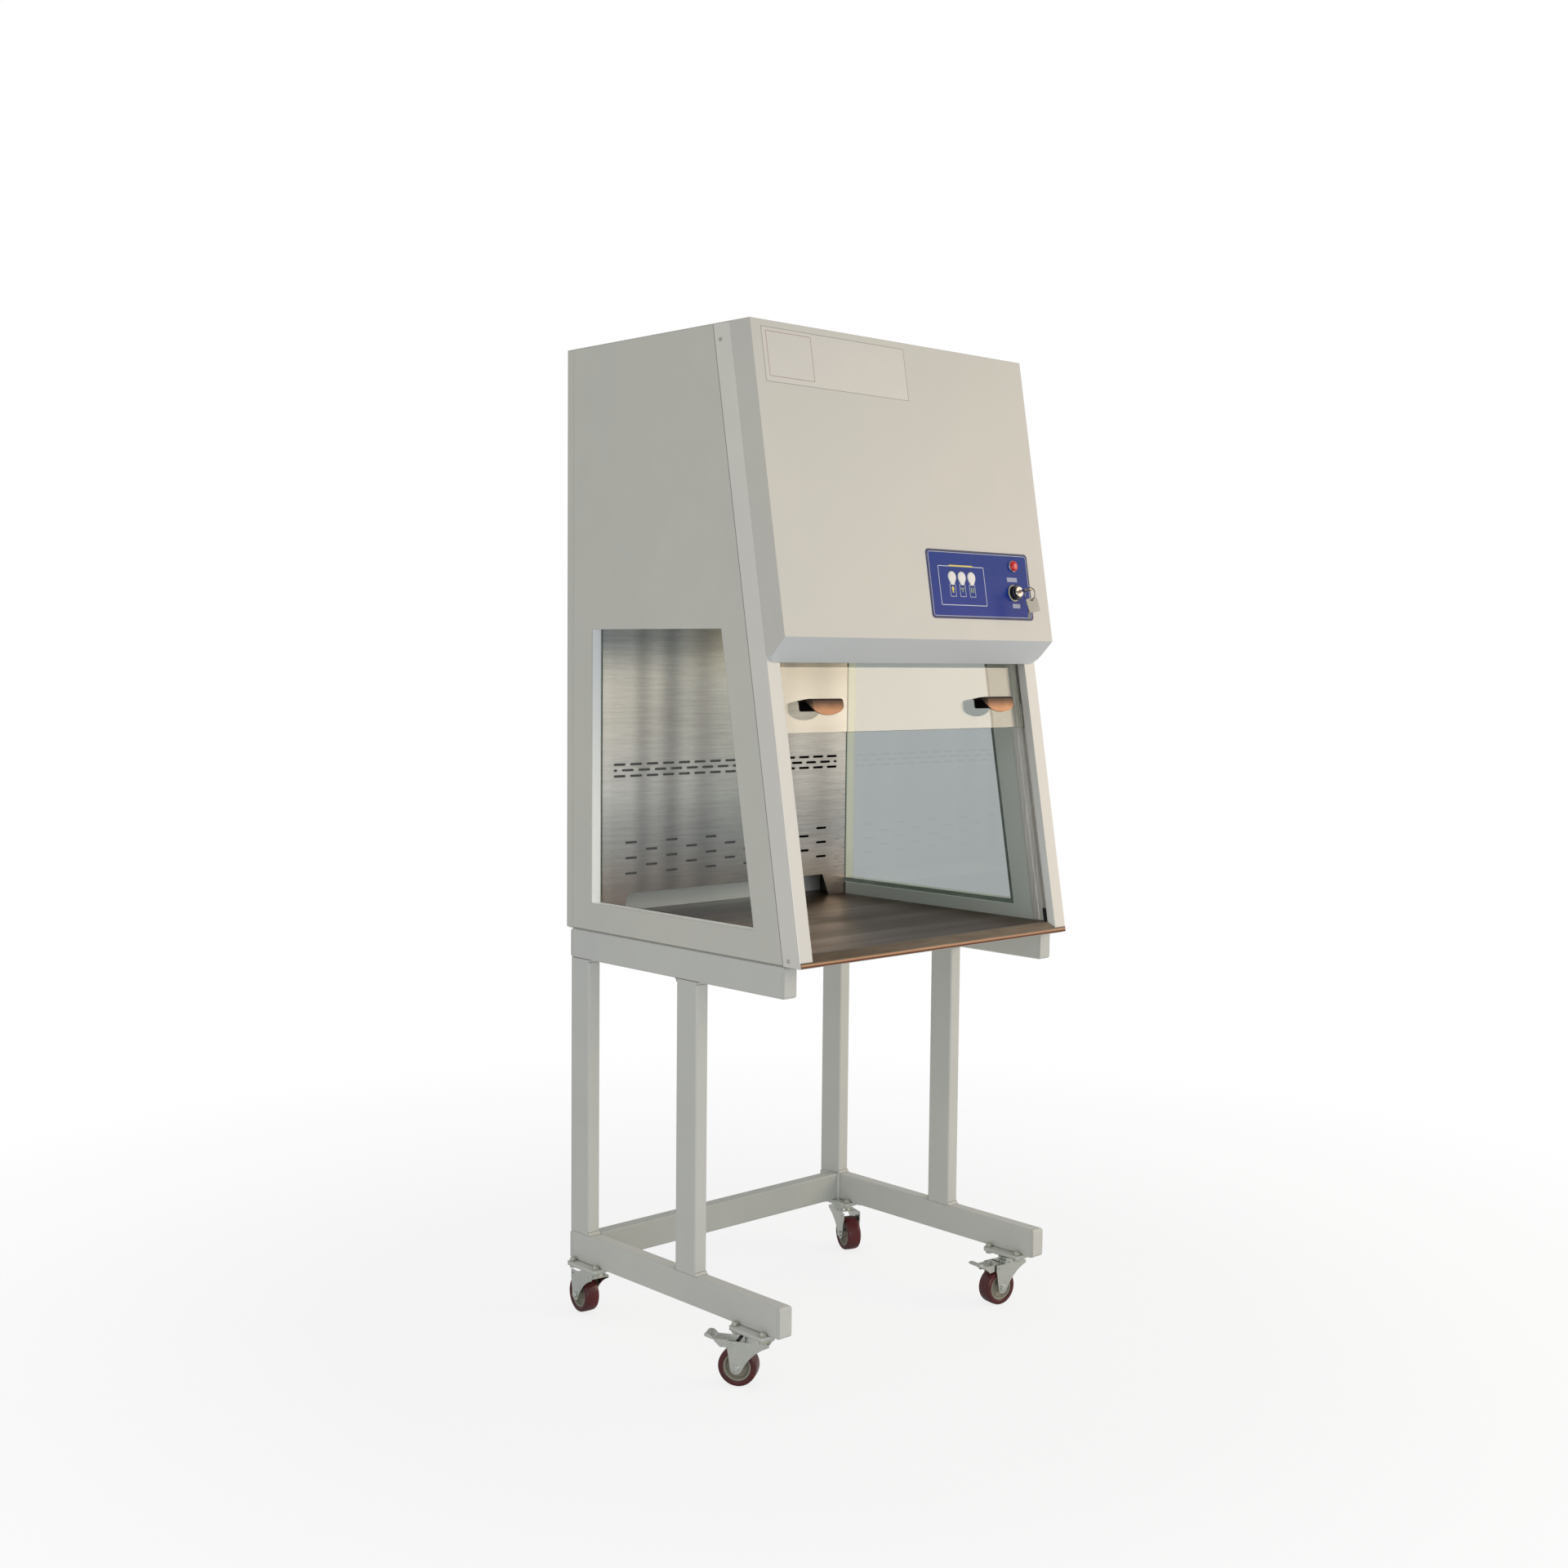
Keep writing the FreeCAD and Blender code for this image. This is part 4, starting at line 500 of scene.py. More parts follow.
# %% Brushing
def brushed_sheet(name, colour, strokes, bands, roughness, band_span, metallic=1.0):
    """Strokes and bands are features per metre; band_span is how dark and how bright the bands run."""
    made = Finish(name, colour, roughness, metallic)
    fine = made.grain(strokes, 3.0, 0.6)
    coarse = made.grain(tuple(value * 0.22 for value in strokes), 2.0, 0.5)
    wide = made.grain(bands, 2.0, 0.45, 0.4)
    tone = made.total(made.between(fine, -0.11, 0.11), made.between(coarse, -0.09, 0.09))
    tone = made.total(tone, made.between(wide, *band_span))
    made.rough(made.total(made.between(fine, -0.06, 0.06),
                          made.between(wide, roughness + 0.05, roughness - 0.05)))
    made.relief(made.total(made.product(fine, 0.6), made.product(coarse, 0.4)), 0.00003, 0.0006)
    made.shader.inputs["Anisotropic"].default_value = 0.5
    made.base = made.shade(colour, tone)
    made.paint(made.base)
    return made


# %% [markdown]
# The painted reflection bands of the back panel follow its width. They are read as a curve with a few stops:
# brighter and darker stretches a hand wide. A second curve of painted reflection runs up the panel, dim under
# the ceiling and above the worktop, where the steel mirrors dark things, and two corners of it are painted
# dimmer still. Two warm tints
# finish it: a painted reflection of the brown worktop on the foot, and a patch near the top that heat from
# the lamps has browned.

# %% Back panel
panel_sheet = brushed_sheet("brushed_back_steel", linear(226, 223, 225), (40.0, 40.0, 900.0), (5.0, 2.0, 0.9),
                            0.36, (0.94, 1.06), metallic=0.85)
panel_x, _, panel_z = panel_sheet.split()[:3]
panel_low, panel_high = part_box("back_panel")
share_across = panel_sheet.between(panel_x, 0.0, 1.0, float(panel_low[0]), float(panel_high[0]))
share_up = panel_sheet.between(panel_z, 0.0, 1.0, float(panel_low[2]), float(panel_high[2]))
# Painted reflection: bands across the width, then a curve up the height with two dimmer corners.
bands = panel_sheet.curve(share_across, [
    (0.0, 1.0), (0.10, 0.98), (0.15, 0.62), (0.20, 0.86), (0.26, 0.52), (0.32, 0.84), (0.39, 0.56),
    (0.47, 0.74), (0.60, 0.62), (0.72, 0.56), (0.80, 0.70), (0.90, 0.58), (1.0, 0.72),
])
height_tone = panel_sheet.curve(share_up, [
    (0.0, 0.92), (0.12, 0.86), (0.25, 0.74), (0.42, 0.84), (0.60, 0.76), (0.80, 1.0), (0.92, 0.90),
    (1.0, 0.74),
])
low_left = panel_sheet.product(panel_sheet.between(share_up, 1.0, 0.0, 0.08, 0.36),
                               panel_sheet.between(share_across, 1.0, 0.0, 0.35, 0.85))
high_right = panel_sheet.product(panel_sheet.between(share_up, 0.0, 1.0, 0.62, 0.76),
                                 panel_sheet.between(share_across, 0.0, 1.0, 0.6, 0.75))
dim = panel_sheet.total(panel_sheet.product(low_left, -0.54), panel_sheet.product(high_right, -0.56))
height_tone = panel_sheet.product(height_tone, panel_sheet.total(dim, 1.0))
# Painted reflection of the brown worktop on the foot of the panel.
painted_worktop_reflection = panel_sheet.tint(panel_sheet.between(share_up, 1.0, 0.0, 0.02, 0.22), linear(255, 255, 255),
                             linear(255, 234, 218))
browned = panel_sheet.product(panel_sheet.between(share_up, 0.0, 1.0, 0.72, 0.9),
                              panel_sheet.between(share_across, 0.0, 1.0, 0.28, 0.42))
warm_head = panel_sheet.tint(browned, linear(255, 255, 255), linear(252, 240, 214))
seen_through = panel_sheet.seen_through(panel_sheet.seen_through(panel_sheet.base, painted_worktop_reflection), warm_head)
panel_sheet.paint(panel_sheet.shade(seen_through, panel_sheet.product(bands, height_tone)))
back_steel = panel_sheet.material
print("back panel from z", round(float(panel_low[2]), 3), "to", round(float(panel_high[2]), 3))

# %% [markdown]
# The worktop is the same steel with years of wiping on it. It is tinted brown more than grey, with a warm
# tint that is stronger towards the left, where it is a painted reflection of the back panel's foot, and on
# the folded nose; it is also duller.
# The nose shows three things: a mottled slope with a painted highlight along its fold, a painted highlight
# along its edge, and a dark lip.

# %% Worktop
top_sheet = brushed_sheet("tinted_worktop_steel", linear(104, 89, 78), (7.0, 900.0, 900.0), (1.2, 16.0, 16.0),
                          0.38, (0.74, 1.12), metallic=0.6)
top_low, top_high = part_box("worktop")
top_x, top_y, top_z = top_sheet.split()[:3]
front_edge = float(top_low[1])
front_corners = corners_of("worktop")
front_corners = front_corners[front_corners[:, 1] < front_edge + 0.5 * mm]
lip_foot, lip_top = float(front_corners[:, 2].min()), float(front_corners[:, 2].max())
lip_middle = lip_foot + 0.5 * (lip_top - lip_foot)
sideways = top_sheet.between(top_x, 0.0, 1.0, float(top_low[0]), float(top_high[0]) - 0.35)
# Warm tint, strongest on the left, where it is a painted reflection of the back panel's foot.
film = top_sheet.tint(sideways, linear(242, 180, 145), linear(236, 218, 202))
nose = top_sheet.between(top_y, 1.0, 0.0, front_edge + 22 * mm, front_edge + 26 * mm)
mottle = top_sheet.between(top_sheet.grain((9.0, 45.0, 45.0), 3.0, 0.6, 0.5), 0.78, 1.12)
slope = top_sheet.shade(top_sheet.tint(sideways, linear(132, 112, 92), linear(158, 140, 120)), mottle)
front_face = top_sheet.between(top_y, 1.0, 0.0, front_edge + 1.2 * mm, front_edge + 2.4 * mm)
lip = top_sheet.product(front_face, top_sheet.between(top_z, 1.0, 0.0, lip_middle, lip_middle + 0.6 * mm))
# Painted highlight: a bright copper line along the edge of the nose.
on_line = top_sheet.between(top_sheet.size_of(top_sheet.total(top_z, -lip_middle - 1.0 * mm)), 1.0, 0.0,
                            1.0 * mm, 2.2 * mm)
painted_edge_highlight = top_sheet.product(top_sheet.product(front_face, on_line),
                                top_sheet.between(top_sheet.grain((5.0, 5.0, 5.0), 2.0), 0.6, 1.0))
# Painted highlight: a pale line along the fold of the nose.
painted_fold_highlight = top_sheet.product(top_sheet.above(top_y, front_edge + 22.5 * mm),
                              top_sheet.below(top_y, front_edge + 26.5 * mm))
top_colour = top_sheet.tint(nose, top_sheet.seen_through(top_sheet.base, film), slope)
top_colour = top_sheet.tint(painted_fold_highlight, top_colour, linear(138, 130, 120))
top_colour = top_sheet.tint(lip, top_colour, linear(120, 82, 62))
top_sheet.paint(top_sheet.tint(painted_edge_highlight, top_colour, linear(226, 172, 132)))
print("worktop lip:", round(lip_foot, 4), "to", round(lip_top, 4))
top_sheet.shader.inputs["Specular IOR Level"].default_value = 0.2
top_steel = top_sheet.material
print("steel:", back_steel.name, top_steel.name)

# %% [markdown]
# ## Glass
# The side windows and the sash are clear panes, solid in the model, so real refraction works. The cut
# edges are ground matt, so wherever the surface faces away from the pane's two sides it stops
# transmitting and turns grey-green.

# %% Panes
def clear_glass(name, colour, ior, smear, faces, edge, painted_edge_glow=0.0):
    """Refracting glass that lets lamps through, hazy from wiping, with ground edges round its faces.

    Its ground edge can be given a faint painted glow: painted light on a part that is no lamp.
    """
    made = Finish(name, colour, 0.0)
    made.shader.inputs["IOR"].default_value = ior
    polished = made.above(made.size_of(made.along(faces, made.facing)), 0.5)
    made.tree.links.new(polished, made.shader.inputs["Transmission Weight"])
    made.paint(made.tint(polished, edge, colour))
    wiped = made.grain((3.0, 3.0, 9.0), 4.0, 0.6, 1.2)
    made.rough(made.total(made.between(wiped, 0.0, smear, 0.45, 0.8),
                          made.between(polished, 0.6, 0.0, 0.0, 1.0)))
    # Painted light: the ground edge glows a little.
    made.shader.inputs["Emission Color"].default_value = edge
    made.tree.links.new(made.between(polished, painted_edge_glow, 0.0, 0.0, 1.0),
                        made.shader.inputs["Emission Strength"])
    through = made.node("ShaderNodeBsdfTransparent", Color=colour)
    lamp_ray = made.node("ShaderNodeLightPath").outputs["Is Shadow Ray"]
    mixed = made.node("ShaderNodeMixShader", i0=lamp_ray, i1=made.shader.outputs[0], i2=through.outputs[0])
    made.tree.links.new(mixed.outputs[0], made.output.inputs["Surface"])
    return made.material


# The side panes' edges are painted pale and glow faintly: painted light.
window_glass = clear_glass("side_window_glass", linear(236, 243, 241), 1.5, 0.02, across,
                           linear(202, 210, 196), 0.4)
sash_glass = clear_glass("sash_pane_glass", linear(248, 248, 242), 1.52, 0.015, out_of_front,
                         linear(70, 74, 62))

# %% [markdown]
# ## Metals of the hardware
# The casters are pressed steel in bright zinc, which is bluish with faint cloudy crystals. The pulls are
# dark bronze plate. The lock and its key are plated brighter than anything else on the cabinet, but the lock
# barrel's plating is painted darker, a painted reflection of dark surroundings.

# %% Zinc, bronze and chrome
def zinc_plate(name, colour, roughness):
    """Cloudy plating: a Voronoi cell pattern, blurred by noise, shifts between blue and straw."""
    made = Finish(name, colour, roughness, 1.0)
    cells = made.node("ShaderNodeTexVoronoi", Vector=made.place, Scale=260.0).outputs["Distance"]
    cloud = made.grain((70.0, 70.0, 70.0), 3.0, 0.6, 0.8)
    blend = made.total(made.product(cells, 0.2), made.product(cloud, 0.8))
    made.paint(made.tint(made.between(blend, 0.0, 1.0, 0.25, 0.65), times(colour, 0.94),
                         times((colour[0] * 1.02, colour[1], colour[2] * 0.96), 1.04)))
    made.rough(made.between(cloud, roughness - 0.05, roughness + 0.07))
    made.relief(cloud, 0.00002, 0.0009)
    return made.material


zinc = zinc_plate("bright_zinc", linear(204, 208, 204), 0.24)
bolt_steel = zinc_plate("bolt_zinc", linear(196, 196, 188), 0.28)
# Painted reflection: the lock barrel's plating is a darker copy of the bezel's, for the dark things it
# mirrors.
barrel_chrome = plain_finish("barrel_plating", linear(142, 139, 136), 0.14, 1.0,
                             depth=0.00001, drift=0.03).material
chrome = plain_finish("bright_plating", linear(206, 206, 203), 0.12, 1.0, depth=0.00001, drift=0.03).material
key_steel = plain_finish("worn_key_nickel", linear(150, 144, 134), 0.28, 1.0, drift=0.12).material
galvanised = zinc_plate("galvanised_sheet", linear(170, 173, 174), 0.42)
satin_aluminium = brushed_sheet("satin_guide_aluminium", linear(218, 215, 207), (1200.0, 1200.0, 8.0),
                                (2.0, 2.0, 1.0), 0.42, (0.95, 1.03), metallic=0.35).material
print("metals:", zinc.name, galvanised.name, chrome.name)

# %% [markdown]
# The lips of the pulls are painted copper, brightest at their lower edge, while the shelves behind them
# are painted almost black: painted light and shade, standing in for what the bronze reflects. The finish
# tells them apart by which way the surface faces, by how far it stands off the glass and by how far down the
# lip it is.

# %% Bronze pulls with painted light
glass_face = reach("sash_glass", out_of_front)[1]
pull_bronze = Finish("bronze_with_painted_light", linear(150, 112, 88), 0.3, 1.0)
bronze_grain = pull_bronze.grain((60.0, 60.0, 60.0), 3.0, 0.6)
outer_face = pull_bronze.between(pull_bronze.along(out_of_front, pull_bronze.facing), 0.0, 1.0, 0.25, 0.85)
proud = pull_bronze.between(pull_bronze.along(out_of_front), 0.0, 1.0,
                            glass_face + 8 * mm, glass_face + 20 * mm)
pull_low, pull_high = reach("sash_pulls", up_slant)
lip_share = pull_bronze.between(pull_bronze.along(up_slant), 1.0, 0.0, pull_low + 8 * mm, pull_high - 8 * mm)
lip_tone = pull_bronze.tint(lip_share, linear(76, 62, 54), linear(150, 116, 92))
# Painted light: faces that look out from the glass and stand proud of it get the copper tone, the rest stay
# dark.
worn = pull_bronze.product(pull_bronze.product(outer_face, proud), pull_bronze.between(bronze_grain, 0.8, 1.0))
pull_bronze.paint(pull_bronze.tint(worn, linear(46, 40, 37), lip_tone))
pull_bronze.rough(pull_bronze.between(bronze_grain, 0.36, 0.5))
pull_bronze.relief(bronze_grain, 0.00003, 0.0004)
bronze = pull_bronze.material

# %% [markdown]
# ## Mouldings and prints
# Rubber, nylon and the printed overlay are plastics: they need no metal, only the right gloss and a
# little life in the surface. The overlay of the control plate is royal blue and turns slightly violet
# towards its foot, a gradient that is measured up the slant.

# %% Plastics, rubber and the overlay
tread_red = plain_finish("tread_polyurethane", linear(82, 24, 26), 0.26, drift=0.3, rough_drift=0.1,
                         depth=0.00006).material
hub_beige = plain_finish("hub_moulding", linear(148, 144, 128), 0.45, drift=0.12).material
seal_black = plain_finish("black_seal_rubber", linear(34, 34, 34), 0.7, drift=0.15).material
seal_grey = plain_finish("grey_window_seal", linear(150, 156, 148), 0.55, drift=0.08).material
nylon = plain_finish("natural_nylon", linear(224, 221, 210), 0.45).material
key_white = plain_finish("key_cap_white", linear(226, 224, 220), 0.38, drift=0.02, depth=0.00001).material
switch_black = plain_finish("switch_black_moulding", linear(24, 24, 25), 0.3, drift=0.2).material
holder_white = plain_finish("holder_white_moulding", linear(226, 225, 220), 0.42, drift=0.03).material
board_green = plain_finish("circuit_board", linear(24, 92, 58), 0.4, drift=0.15).material
filter_paper = plain_finish("pleated_filter_paper", linear(232, 231, 224), 0.9,
                            speckle=240.0, depth=0.0003).material
print_white = plain_finish("printed_white", linear(214, 218, 226), 0.45, drift=0.03, depth=0.0).material
print_pale, print_dark, print_yellow, print_green = (
    plain_finish("printed_" + name, linear(*ink), 0.45, drift=0.05, depth=0.0).material
    for name, ink in (("pale_field", (150, 158, 186)), ("dark_edge", (30, 36, 74)),
                      ("yellow", (222, 202, 84)), ("green", (126, 146, 120))))
legend_cream = plain_finish("legend_ring_cream", linear(214, 208, 160), 0.4, drift=0.04, depth=0.0).material
label_film = plain_finish("bare_label_film", linear(212, 208, 199), 0.3, drift=0.01, depth=0.00001).material
label_line = plain_finish("label_outline", linear(168, 132, 120), 0.45, drift=0.04, depth=0.0).material
label_edge = plain_finish("label_border_grey", linear(150, 146, 138), 0.45, drift=0.04, depth=0.0).material
tag_film = plain_finish("key_tag_plastic", linear(198, 190, 174), 0.3, drift=0.16).material

overlay = Finish("control_overlay_blue", linear(40, 62, 134), 0.34)
plate_low, plate_high = (float(corner[2]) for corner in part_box("control_plate"))
height = overlay.between(overlay.split()[2], 0.0, 1.0, plate_low, plate_high)
weave = overlay.grain((900.0, 900.0, 900.0), 2.0)
ink = overlay.tint(height, linear(34, 54, 138), linear(8, 52, 132))
overlay.shader.inputs["Specular IOR Level"].default_value = 0.12
overlay.paint(overlay.shade(ink, overlay.between(overlay.grain((18.0, 18.0, 18.0)), 0.94, 1.06)))
overlay.rough(overlay.between(weave, 0.3, 0.4))
overlay.relief(weave, 0.00002, 0.0005)
overlay_blue = overlay.material


def tinted_dome(name, colour, glow):
    """Clear coloured plastic over a lamp that is lit low: deep colour, glossy skin, a faint own light."""
    made = Finish(name, colour, 0.16)
    ribs = made.grain((900.0, 900.0, 900.0), 1.0)
    made.paint(made.tint(made.between(ribs, 0.0, 1.0), times(colour, 0.85), times(colour, 1.15)))
    made.rough(made.between(ribs, 0.1, 0.22))
    made.shader.inputs["Emission Color"].default_value = colour
    made.shader.inputs["Emission Strength"].default_value = glow
    made.shader.inputs["Coat Weight"].default_value = 0.3
    return made.material


lens_red = tinted_dome("pilot_lens_red", linear(188, 8, 18), 0.14)
tube_white = tinted_dome("frosted_lamp_tube", linear(232, 234, 236), 0.0)

# %% [markdown]
# ## Finishes on the model's own pieces
# A solid from the model whose shape is already right keeps its mesh and only gets its finish.

# %% Hand out the finishes
finishes = {
    cabinet_paint: ("top_panel", "base_pan"),
    hood_paint: ("hood",),
    left_paint: ("left_side_panel",),
    right_paint: ("right_side_panel",),
    rear_paint: ("rear_panel",),
    strip_paint: ("front_corner_strips",),
    stand_paint: ("stand_legs", "stand_rails", "caster_mount_plates"),
    crossbar_paint: ("stand_crossbars",),
    cap_paint: ("rail_end_caps",),
    liner_paint: ("inner_side_panels",),
    duct_paint: ("filter_box", "front_baffle"),
    back_steel: ("back_panel",),
    top_steel: ("worktop",),
    window_glass: ("window_panes",),
    sash_glass: ("sash_glass",),
    seal_black: ("sash_stops",),
    seal_grey: ("window_gaskets",),
    satin_aluminium: ("sash_guides", "diffuser_screen"),
    nylon: ("sash_gliders",),
    zinc: ("caster_top_plates", "front_left_fork", "front_right_fork", "rear_left_fork", "rear_right_fork",
           "front_left_brake_pedal", "front_right_brake_pedal"),
    bolt_steel: ("caster_fasteners", "case_screws"),
    overlay_blue: ("control_plate",),
    board_green: ("control_board",),
    switch_black: ("power_inlet", "blower_motor", "lock_body"),
    barrel_chrome: ("lock_barrel",),
    chrome: ("pilot_bezel",),
    key_steel: ("switch_key", "key_ring"),
    lens_red: ("pilot_lens",),
    key_white: ("push_key_1", "push_key_2", "push_key_3"),
    bronze: ("sash_pulls",),
    filter_paper: ("hepa_filter",),
    galvanised: ("blower_housing", "blower_wheel"),
    tube_white: ("lamp_tubes",),
    holder_white: ("lamp_holders",),
    tread_red: ("front_left_tread", "front_right_tread", "rear_left_tread", "rear_right_tread"),
    hub_beige: ("front_left_hub", "front_right_hub", "rear_left_hub", "rear_right_hub"),
}
for finish, names in finishes.items():
    for name in names:
        materials = nodes[name].data.materials
        materials.clear()
        materials.append(finish)
bare = set(nodes) - {name for names in finishes.values() for name in names}
print("pieces without a finish:", sorted(bare))

# %% [markdown]
# ## Wheels
# A caster wheel is a turned piece, so its surface is a profile swept round the axle. The model's wheels
# carry the sizes. Here the tread gets its crowned face and the parting grooves beside it, and the core
# gets a raised bearing ring, which a profile with a few more points gives at no cost.

# %% Turn four treads and cores
corners = ("front_left", "front_right", "rear_left", "rear_right")


def wheel(name):
    """Crowned tread and dished core about the axle of one caster."""
    roll = joints[name + "_wheel_roll"]
    centre = np.array(roll["pos_m"])
    axle = np.array(roll["axis"])
    tread_low, tread_high = reach(name + "_tread", axle)
    hub_low, hub_high = reach(name + "_hub", axle)
    half = (tread_high - tread_low) / 2
    boss = (hub_high - hub_low) / 2
    radius = float(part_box(name + "_tread")[1][2]) - centre[2]
    core = radius - 10.5 * mm
    crown = np.linspace(-1.0, 1.0, 15)
    face = np.stack([radius - 0.5 * mm * crown**4, crown * (half - 3.2 * mm)], axis=1)
    side = np.array([
        [core, half - 1.2 * mm], [core + 1.0 * mm, half - 0.9 * mm], [core + 2.0 * mm, half - 0.2 * mm],
        [core + 3.5 * mm, half], [radius - 4.5 * mm, half], [radius - 3.0 * mm, half - 0.5 * mm],
        [radius - 1.4 * mm, half - 1.6 * mm],
    ])
    profile = np.concatenate([side * [1, -1], face, side[::-1]])
    tread = turned(profile, centre, axle, 112, closed=True)
    make(name + "_tread_skin", [tread], tread_red, name + "_wheel", [name + "_tread"], 40)
    bore = 4.05 * mm
    dish = np.array([
        [bore, boss], [8.6 * mm, boss], [9.2 * mm, boss - 1.0 * mm], [9.4 * mm, 8.0 * mm],
        [10.6 * mm, 6.6 * mm],
        [12.0 * mm, 6.2 * mm], [17.5 * mm, 6.2 * mm], [20.5 * mm, 7.0 * mm], [22.4 * mm, 10.5 * mm],
        [23.2 * mm, 13.4 * mm], [24.2 * mm, 14.2 * mm], [core - 0.6 * mm, 14.2 * mm], [core, 13.6 * mm],
    ])
    hub = turned(np.concatenate([dish, dish[::-1] * [1, -1]]), centre, axle, 96, closed=True)
    make(name + "_core_skin", [hub], hub_beige, name + "_wheel", [name + "_hub"], 40)
    return radius


print("wheel radii:", [round(wheel(name), 4) for name in corners])

# %% [markdown]
# ## Sash pulls
# A pull is a pressed cup: a shelf that stands out from the glass and bends over into a half-moon lip,
# with a flat plate behind that is screwed to the glass. The shelf and lip are one surface with two
# parameters. The first runs across the width, the second along the section: out from the glass, round
# the bend, and down the lip, whose length follows a half circle across the width.

# %% Bend the two pulls
pull_front = reach("sash_pulls", out_of_front)[1]
pull_width = 93.0 * mm
pull_offset = reach("sash_pulls", across)[1] - pull_width / 2 - cabinet_middle


def in_front(x, out, rise):
    """Point from its x, its distance out of the front and its height up the slant, as measured by reach."""
    return x[..., None] * across + out[..., None] * out_of_front + rise[..., None] * up_slant


def pull_cup(centre_x, thickness=2.2 * mm, bend=6.0 * mm):
    """Shelf and half-moon lip: a closed skin over the outer surface and its inner copy."""
    s = np.linspace(-1.0, 1.0, 61)
    depth = pull_front - glass_face
    height = pull_high - pull_low
    corner = 1.0 - 0.22 * np.clip((np.abs(s) - 0.8) / 0.2, 0.0, 1.0) ** 2
    drop = (height - bend) * np.sqrt(np.clip(1.0 - (s / 0.97) ** 2, 0.0, 1.0)) + 0.6 * mm
    t = np.linspace(0.0, 1.0, 9)[None, :]
    shelf_out = (depth * corner[:, None] - bend) * t
    arc = t * math.pi / 2
    rings = []
    for offset in (0.0, thickness):
        r = bend - offset
        lip_t = t[:, 1:]
        out = np.concatenate([
            shelf_out,
            depth * corner[:, None] - bend + r * np.sin(arc[:, 1:]) + 0 * corner[:, None],
            (depth * corner[:, None] - offset) + 0 * lip_t,
        ], axis=1)
        rise = np.concatenate([
            0 * shelf_out - offset,
            -bend + r * np.cos(arc[:, 1:]) + 0 * corner[:, None],
            -bend - drop[:, None] * lip_t,
        ], axis=1)
        x = centre_x + s[:, None] * pull_width / 2 + 0 * out
        rings.append(in_front(x, glass_face + out, pull_high + rise))
    loops = np.concatenate([rings[0], rings[1][:, ::-1]], axis=1)
    return stack(loops)


def pull_base(centre_x, thickness=2.0 * mm, height=19.0 * mm):
    """Flat plate on the glass with round lower corners."""
    loop = rounded_loop(pull_width - 6 * mm, height, 4.0 * mm)
    rings = []
    for out, edge in ((0.0, 0.0), (thickness - 0.6 * mm, 0.0), (thickness, 0.6 * mm)):
        outline = inset(loop, edge)
        x = centre_x + outline[:, 0]
        rise = pull_high - height / 2 - 1.0 * mm + outline[:, 1]
        rings.append(in_front(x, glass_face + out + 0 * x, rise))
    return stack(np.stack(rings))


pulls = []
for side in (-1, 1):
    pull_x = cabinet_middle + side * pull_offset
    pulls += [pull_cup(pull_x), pull_base(pull_x)]
make("bent_sash_pulls", pulls, bronze, "sash", ["sash_pulls"], 40)
print(f"pulls stand {1000 * (pull_front - glass_face):.0f} mm off the glass")

# %% [markdown]
# ## Keys, lamp and lock
# The three keys are egg-shaped caps with a soft dome. Each is an outline stacked from its foot to its
# crown, with the last rings drawn in along a quarter circle. The lamp and the lock are turned pieces.

# %% Key caps
def egg_loop(wide, narrow, centres, steps=20):
    """Closed loop round two circles of different size and the straight lines that touch both."""
    lean = math.asin((wide - narrow) / centres)
    lift = (centres + narrow - wide) / 2
    top = np.linspace(-lean, math.pi + lean, steps)
    foot = np.linspace(math.pi + lean, 2 * math.pi - lean, steps)
    upper = np.stack([wide * np.cos(top), wide * np.sin(top) + lift], axis=1)
    lower = np.stack([narrow * np.cos(foot), narrow * np.sin(foot) + lift - centres], axis=1)
    return np.concatenate([upper, lower])


face_level = float(lock_centre @ out_of_front)
lock_rise = float(lock_centre @ up_slant)


def key_cap(number):
    """Domed cap: the loop shrinks by 0.92 * (1 - cos t) as it rises by the dome's height times sin t."""
    name = f"push_key_{number}"
    low_x, high_x = reach(name, across)
    low_rise, high_rise = reach(name, up_slant)
    crown = reach(name, out_of_front)[1] - face_level
    centre_x = (low_x + high_x) / 2
    centre_rise = (low_rise + high_rise) / 2 - lock_rise
    rim = 2.0 * mm
    wide = (high_x - low_x) / 2 - rim
    loop = egg_loop(wide, wide * 7 / 12, wide * 10 / 12)
    t = np.linspace(0.0, math.pi / 2, 9)[:-1]
    shrink = 1.0 - 0.92 * (1.0 - np.cos(t))
    lift = crown * 0.35 + crown * 0.65 * np.sin(t)
    share = np.concatenate([[1.0, 1.0], shrink, [0.12]])
    level = np.concatenate([[-2.6 * mm, 0.0], lift, [crown]])
    rings = np.stack([
        on_front(centre_x + loop[:, 0] * part, centre_rise + loop[:, 1] * part, height)
        for part, height in zip(share, level)
    ])
    make(f"key_cap_{number}", [stack(rings)], key_white, f"key_{number}", [name], 50)
    return centre_x, centre_rise


key_places = [key_cap(number) for number in (1, 2, 3)]
print("keys at x:", [round(x, 4) for x, rise in key_places])

